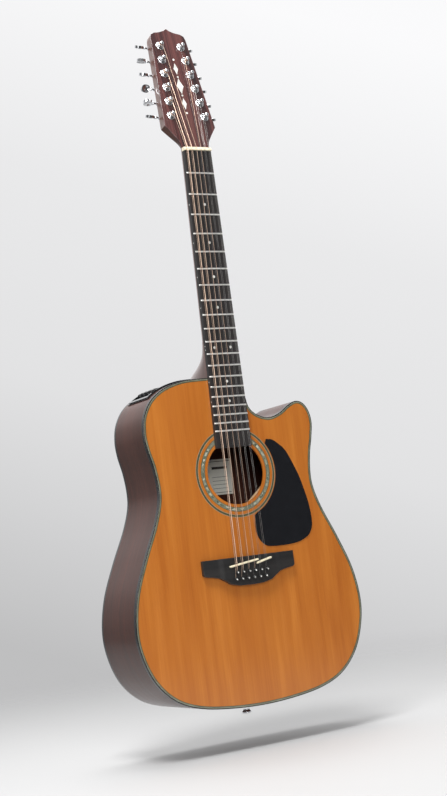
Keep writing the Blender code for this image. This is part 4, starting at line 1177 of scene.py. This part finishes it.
def neck():
    sections = []
    for above, depth in smooth(NECK_DEPTHS, 6):
        height = BODY_LENGTH - 0.1 * MM + above
        sections.append(half_round(
            board_half_width(height), depth, 0,
            lambda x, y: (x, min(y, HEEL_CAP), height),
        ))
    height = NUT_HEIGHT + NUT_LENGTH + 2 * GAP
    sections.append(half_round(NUT_HALF_WIDTH, 16 * MM, 0, lambda x, y: (x, y, height)))
    for up, depth in HEAD_FADE:
        sections.append(half_round(
            NUT_HALF_WIDTH - 0.1 * MM, depth * MM, 4 * MM,
            lambda x, y: HEAD @ Vector((x, up * MM, -y)),
        ))
    shaft = loft(sections)
    flare = loft([
        half_round(u * MM, HEAD_THICKNESS, 1 * MM, lambda x, y: HEAD @ Vector((x, w * MM, -y)), power)
        for u, w, power in HEAD_FLARE
    ])
    above_flare = ((44.8, 46.5), *HEAD_HALF_OUTLINE[FLARE_POINTS:])
    head = ease(slab([head_loop(above_flare)], -HEAD_THICKNESS, -1 * MM, HEAD), 1.2 * MM, 3)
    whole = join(shaft, tenon(), flare, head)
    piece("neck_wood", whole, MAHOGANY_NECK, stands_for=["neck"], smooth_to=35)
    outline = head_loop(grow=0.12 * MM)
    veneer = ease(slab([outline], -HEADPLATE_THICKNESS, 0, HEAD), 0.5 * MM, 3)
    piece("head_veneer", veneer, HEADPLATE_WOOD, stands_for=["headplate"])
    inlay = [lozenge(*sizes) for sizes in HEAD_LOZENGES]
    inlay += [stud(r, 0.06, HEAD @ shift(0, w, 0)) for w, r in HEAD_BEADS]
    piece("head_inlay", gather(inlay), PEARL)
    nut()


def lozenge(height, half_width, half_length):
    """A four-pointed star with hollow sides."""
    points = []
    count = 48
    for k in range(count):
        angle = 2 * math.pi * k / count
        c, s = math.cos(angle), math.sin(angle)
        points.append((
            half_width * math.copysign(abs(c) ** 2.2, c) * MM,
            (height + half_length * math.copysign(abs(s) ** 2.2, s)) * MM,
        ))
    return slab([points], -1 * MM, 0.06 * MM, HEAD)


def nut():
    half = NUT_HALF_WIDTH
    sections = []
    for up, drop in ((0, 0.7), (0.5, 0.1), (1.6, 0), (3.8, 0.7), (5.2, 1.6), (6.0, 3.0)):
        height = NUT_HEIGHT + up * MM
        crown = [
            (x, NUT_TOP + drop * MM + x**2 / (2 * FRETBOARD_RADIUS), height) for x in spread(half)
        ]
        sections.append(crown + [(half, 0.5 * MM, height), (-half, 0.5 * MM, height)])
    slots = []
    for index, radius in enumerate(STRING_RADII):
        x, y = nut_crossing(index), string_depth_at_nut(index) - 0.3 * MM
        slots.append(rod(
            (x, y, NUT_HEIGHT - 3 * MM), (x, y, NUT_HEIGHT + 10 * MM),
            (radius + 0.3) * MM, segments=12,
        ))
    bone = ease(loft(sections), 0.35 * MM, 2, 60)
    piece("nut_bone", cut(bone, gather(slots)), BONE, stands_for=["nut"])


# ---- bridge and pickguard

def saddle_box(ends, grow, depths):
    (x0, z0), (x1, z1) = ends
    start, end = Vector((x0, 0, z0)) * MM, Vector((x1, 0, z1)) * MM
    along = (end - start).normalized()
    inward = Vector((0, 1, 0))
    place = Matrix.Translation((start + end) / 2) @ Matrix(
        (along, inward, along.cross(inward))
    ).transposed().to_4x4()
    length = (end - start).length / 2 + grow
    across = SADDLE_WIDTH / 2 + grow
    return box((-length, depths[0], -across), (length, depths[1], across), place)


def bridge():
    right = [(x * MM, z * MM) for x, z in BRIDGE_HALF]
    loop = [(-x, z) for x, z in right] + [(0, 180 * MM)] + right[::-1]
    half = [(x * MM, -y * MM) for x, y in BRIDGE_PROFILE]
    profile = [(-x, y) for x, y in half[::-1]] + half + [(82 * MM, -1 * MM), (-82 * MM, -1 * MM)]
    blank = plate([loop], -20 * MM, 0)
    upright_turn = Matrix(((1, 0, 0, 0), (0, -1, 0, 0), (0, 0, -1, 0), (0, 0, 0, 1)))
    tops = slab([profile], -240 * MM, -160 * MM, upright_turn)
    body = ease(combine(blank, tops, "INTERSECT"), 0.8 * MM, 3, 30)
    slot_floor = BRIDGE_TOP + SADDLE_SLOT_DEPTH
    saddles = {"saddle_long": LONG_SADDLE, "saddle_short": SHORT_SADDLE}
    slot_depths = (BRIDGE_TOP - 5 * MM, slot_floor)
    slots = [saddle_box(ends, 0.1 * MM, slot_depths) for ends in saddles.values()]
    piece("bridge_wood", cut(body, *slots), BRIDGE_WOOD, stands_for=["bridge"], smooth_to=35)
    for name, ends in saddles.items():
        bone = ease(saddle_box(ends, 0, (SADDLE_TOP, slot_floor)), 1.1 * MM, 4)
        piece(name + "_bone", bone, BONE, stands_for=[name])
    heads, dots = [], []
    for index in range(2 * COURSES):
        x, z = pin_place(index)
        at = Matrix.Translation((x, BRIDGE_TOP, z)) @ FRONT
        heads.append(turned(BRIDGE_PIN, at, 24))
        dots.append(turned(BRIDGE_PIN_DOT, at, 16))
    piece("bridge_pins", gather(heads), BLACK_PLASTIC)
    piece("bridge_pin_dots", gather(dots), PEARL)


def pickguard():
    edge = smooth(PICKGUARD_OUTLINE, 5)
    for k in range(41):
        angle = math.radians(PICKGUARD_ARC[0] + PICKGUARD_ARC[1] * k / 40)
        edge.append(Vector((
            PICKGUARD_RADIUS * math.cos(angle),
            SOUNDHOLE_HEIGHT + PICKGUARD_RADIUS * math.sin(angle),
        )))
    sheet = ease(plate([edge], -1.1 * MM, 0), 0.45 * MM, 3, 60)
    piece("pickguard_sheet", sheet, BLACK_PICKGUARD, stands_for=["pickguard"])


# ---- tuners

def post_places():
    """For each side, the posts' centres in the head's plane, from the nut to the tip."""
    places = {}
    near, far = POST_HALF_SPACING
    for name, sign in SIDES:
        places[name] = []
        for i in range(TUNERS_A_SIDE):
            across = near + (far - near) * i / (TUNERS_A_SIDE - 1)
            places[name].append(Vector((sign * across, FIRST_POST + POST_PITCH * i)))
    return places


def tuner_place(side, spot):
    """A frame at a post: Y up the head's edge, Z out of its face, X to the treble side."""
    lean = HEAD_EDGE_LEAN if side > 0 else -HEAD_EDGE_LEAN
    return HEAD @ Matrix.Translation((spot.x, spot.y, TUNER_DEPTH)) @ turn_about("Z", lean)


def post(at):
    """The string post with its waist, hole and hidden gear."""
    face = -TUNER_DEPTH / MM
    profile = (
        (0, face + 11), (1.7, face + 10.9), (2.5, face + 10.5), (2.9, face + 9.9), (3.0, face + 9.3),
        (2.95, face + 7.6), (2.6, face + 7.0), (2.55, face + 5.4), (3.0, face + 4.8), (3.0, 1.2),
        (5.0, 1.2), (5.0, -1.2), (3.0, -1.2), (3.0, -2.9), (0, -2.9),
    )
    hole = Vector((0, 0, (face + POST_HOLE) * MM))
    reach = Vector((6 * MM, 0, 0))
    bore = rod(hole - reach, hole + reach, 0.8 * MM, at, 12)
    return cut(turned(profile, at, 32), bore)


def bushing(spot):
    """The round washer and six-sided nut on the head's face."""
    at = HEAD @ Matrix.Translation((spot.x, spot.y, 0))
    nut_body = slab([circle((0, 0), 5.9 * MM, 6)], 0.9 * MM, 3.6 * MM, at)
    nut_body = combine(nut_body, turned(NUT_CROWN, at, 48), "INTERSECT")
    return turned(WASHER, at, 48), nut_body


def button(side, roll, at):
    """A finger button with dished faces, on its shaft."""
    upper = smooth(BUTTON_HALF, 4)
    loop = [(side * p.x, p.y) for p in upper] + [(side * p.x, -p.y) for p in upper[-2::-1]]
    turn = at @ turn_about("X", math.radians(roll))
    paddle = slab([loop], -BUTTON_HALF_THICKNESS, BUTTON_HALF_THICKNESS, turn)
    paddle = ease(paddle, 1.1 * MM, 4)
    radius = BUTTON_DISH_RADIUS
    arc = [(radius * math.sin(a), radius * math.cos(a)) for a in DISH_ANGLES]
    for face in (-1, 1):
        lift = face * (radius + BUTTON_DISH_LIFT)
        ball = turned(arc, turn @ shift(side * BUTTON_DISH_FROM_POST, 0, lift), 48)
        paddle = cut(paddle, ball)
    shaft = turned(TUNER_SHAFT, at @ turn_about("Y", side * math.pi / 2), 24)
    return join(shaft, paddle)


def tuner_case(side, at):
    """A die-cast case with a collar round the shaft and a lug for its screw."""
    low, high = LUG_DEPTHS
    body = box(*(mm(*corner) for corner in CASE_CORNERS), at, 1.5 * MM)

    def along_shaft(start, end, radius):
        ends = [(side * x * MM, WORM_CENTRE, 0) for x in (start, end)]
        return rod(*ends, radius * MM, at)

    collar = along_shaft(6, 10.5, 3.3)
    bore = along_shaft(8, 12, 2.0)
    lug = slab([circle((0, LUG_FROM_POST * MM), 3.0 * MM, 24)], low * MM, high * MM, at)
    neck_of_lug = box(mm(-3, LUG_FROM_POST, low), mm(3, -6, high), at)
    return cut(join(body, collar, lug, neck_of_lug), bore)


def case_screw(at):
    """A domed screw with a cross slot, seen from behind the head."""
    under = at @ shift(0, SCREW_FROM_POST, LUG_DEPTHS[0]) @ turn_about("X", math.pi)
    slots = [
        box(mm(-1.4, -0.22, 0.6), mm(1.4, 0.22, 2), under @ turn_about("Z", turn))
        for turn in (0.4, 0.4 + math.pi / 2)
    ]
    return cut(turned(SCREW_HEAD, under, 24), *slots)


def tuners():
    number = 0
    for name, side in SIDES:
        kinds = {"cases": [], "screws": [], "washers": [], "nuts": []}
        for spot, roll in zip(post_places()[name], BUTTON_ROLL[name]):
            number += 1
            at = tuner_place(side, spot)
            kinds["cases"].append(tuner_case(side, at))
            kinds["screws"].append(case_screw(at))
            washer, nut_body = bushing(spot)
            kinds["washers"].append(washer)
            kinds["nuts"].append(nut_body)
            node = f"tuner_post_{number:02d}"
            piece(node + "_steel", post(at), CHROME, node, [node])
            node = f"tuner_button_{number:02d}"
            shaft_at = at @ Matrix.Translation((0, WORM_CENTRE, 0))
            piece(node + "_chrome", button(side, roll, shaft_at), CHROME, node, [node])
        for kind, solids in kinds.items():
            parts = gather(solids)
            piece(f"tuner_{kind}_{name}", parts, CHROME, stands_for=["tuner_housings_" + name])


# ---- strings

def nut_crossing(index):
    middle, side = course(index)
    return middle * COURSE_SPACING_AT_NUT + side * PAIR_HALF_AT_NUT


def string_depth_at_nut(index):
    """Depth of the string's middle in its slot."""
    camber = nut_crossing(index)**2 / (2 * FRETBOARD_RADIUS)
    return NUT_TOP + 0.4 * MM + camber - STRING_RADII[index] * MM


def saddle_height(x):
    """Where a string at x crosses its saddle."""
    (x0, z0), (x1, z1) = LONG_SADDLE if x < SADDLES_PART_AT else SHORT_SADDLE
    return (z0 + (z1 - z0) * (x / MM - x0) / (x1 - x0)) * MM


def coil(spot, inward, radius):
    """The turns of a string on its post, from the hole down to where the string leaves it."""
    turns = COIL_TURNS[0 if radius > THICK_STRING else 1]
    steps = 24
    round_post = COIL_RADIUS + radius
    count = int(turns * steps)
    points = []
    for k in range(count, -1, -1):
        angle = 2 * math.pi * k / steps
        height = COIL_ABOVE_FACE + radius + COIL_PITCH * radius * k / steps
        u = spot.x + inward * round_post * math.cos(angle)
        w = spot.y + round_post * math.sin(angle)
        points.append(HEAD @ Vector((u, w, height)))
    return points


def strings():
    posts = post_places()
    for index, radius in enumerate(STRING_RADII):
        wound_wire = radius > THINNEST_WOUND
        radius *= MM
        middle, side = course(index)
        at_saddle = middle * COURSE_SPACING + side * PAIR_HALF_AT_SADDLE
        x = nut_crossing(index)
        if index < COURSES:
            spot, inward = posts["bass"][index], 1
        else:
            spot, inward = posts["treble"][2 * COURSES - 1 - index], -1
        pin_x, pin_z = pin_place(index)
        depth = string_depth_at_nut(index)
        over = NUT_HEIGHT + 1.6 * MM
        crown = SADDLE_TOP - radius
        crossing = saddle_height(at_saddle)
        points = coil(spot, inward, radius) + [
            (x, depth + 0.25 * MM, over + 2.2 * MM), (x, depth, over), (x, depth, NUT_HEIGHT),
            (at_saddle, crown, crossing + 0.5 * MM), (at_saddle, crown + 0.1 * MM, crossing - 0.6 * MM),
            (pin_x, BRIDGE_TOP - radius, pin_z + 3.6 * MM),
            (pin_x, BRIDGE_TOP + 1.2 * MM, pin_z + 2.2 * MM), (pin_x, 6 * MM, pin_z + 1.0 * MM),
        ]
        finish = WOUND_STRING if wound_wire else PLAIN_STRING
        piece(f"string_{index + 1:02d}", wire(points, radius), finish, stands_for=["strings"])


soundboard()
back_panel()
sides()
inside()
endpin()
preamp()
fretboard()
neck()
bridge()
pickguard()
tuners()
strings()


# ---- floor, light and view

def floor():
    """A round floor that fades out into the pale surroundings."""
    bm = bmesh.new()
    bmesh.ops.create_circle(bm, cap_ends=True, segments=96, radius=FLOOR_RADIUS)
    ground = moved(from_bmesh(bm), Matrix.Translation((0, 0.2, FLOOR_HEIGHT)))
    ground.name = "floor"
    paper = Finish("floor_paper", (0.50, 0.50, 0.50), 0.75)
    where = paper.node("TexCoord").outputs["Object"]
    away = paper.node("VectorMath", Vector=where)
    away.operation = "LENGTH"
    fade = paper.node(
        "MapRange", Value=away.outputs["Value"], From_Min=FLOOR_FADE_FROM,
        From_Max=FLOOR_RADIUS * 0.9, To_Min=1, To_Max=0,
    )
    fade.interpolation_type = "SMOOTHSTEP"
    paper.drive("Alpha", fade.outputs["Result"])
    ground.data.materials.append(paper.material)


def light(name, place, aim, size, power):
    lamp = bpy.data.lights.new(name, "AREA")
    lamp.shape = "RECTANGLE"
    lamp.size, lamp.size_y = size
    lamp.energy = power
    obj = bpy.data.objects.new(name, lamp)
    obj.location = place
    obj.rotation_euler = (Vector(aim) - Vector(place)).to_track_quat("-Z", "Y").to_euler()
    bpy.context.scene.collection.objects.link(obj)


def world():
    """A pale backdrop to look at, with painted shade darker downwards, and a studio with a bright back
    and a dark front to light by.
    """
    made = bpy.data.worlds.new("studio")
    sky = NodeTree(made)
    sky.nodes.clear()
    where = sky.node("TexCoord").outputs["Generated"]

    def by_direction(direction, levels):
        facing = sky.node("VectorMath", Vector=where)
        facing.operation = "DOT_PRODUCT"
        facing.inputs[1].default_value = Vector(direction).normalized()
        share = sky.node("MapRange", Value=facing.outputs["Value"], From_Min=-1).outputs["Result"]
        stops = [(position, (level, level, level * 1.01)) for position, level in levels]
        return sky.node("Background", Color=sky.ramp(share, stops)).outputs["Background"]

    # the backdrop the camera sees, with its painted shade
    seen = by_direction(*WORLD_SEEN)
    lit = sky.node("AddShader")
    sky.links.new(by_direction(*WORLD_BEHIND), lit.inputs[0])
    sky.links.new(by_direction(*WORLD_ABOVE), lit.inputs[1])
    choose = sky.node("MixShader", Fac=sky.node("LightPath").outputs["Is Camera Ray"])
    sky.links.new(lit.outputs["Shader"], choose.inputs[1])
    sky.links.new(seen, choose.inputs[2])
    sky.node("OutputWorld", Surface=choose.outputs["Shader"])
    bpy.context.scene.world = made


def camera():
    made = bpy.data.cameras.new("view")
    made.lens = CAMERA_LENS
    obj = bpy.data.objects.new("view", made)
    obj.location = CAMERA_PLACE
    obj.rotation_euler = [math.radians(turn) for turn in CAMERA_TURN]
    bpy.context.scene.collection.objects.link(obj)
    bpy.context.scene.camera = obj


floor()
for lamp in LIGHTS:
    light(*lamp)
world()
camera()
bpy.context.scene.view_settings.view_transform = "Standard"
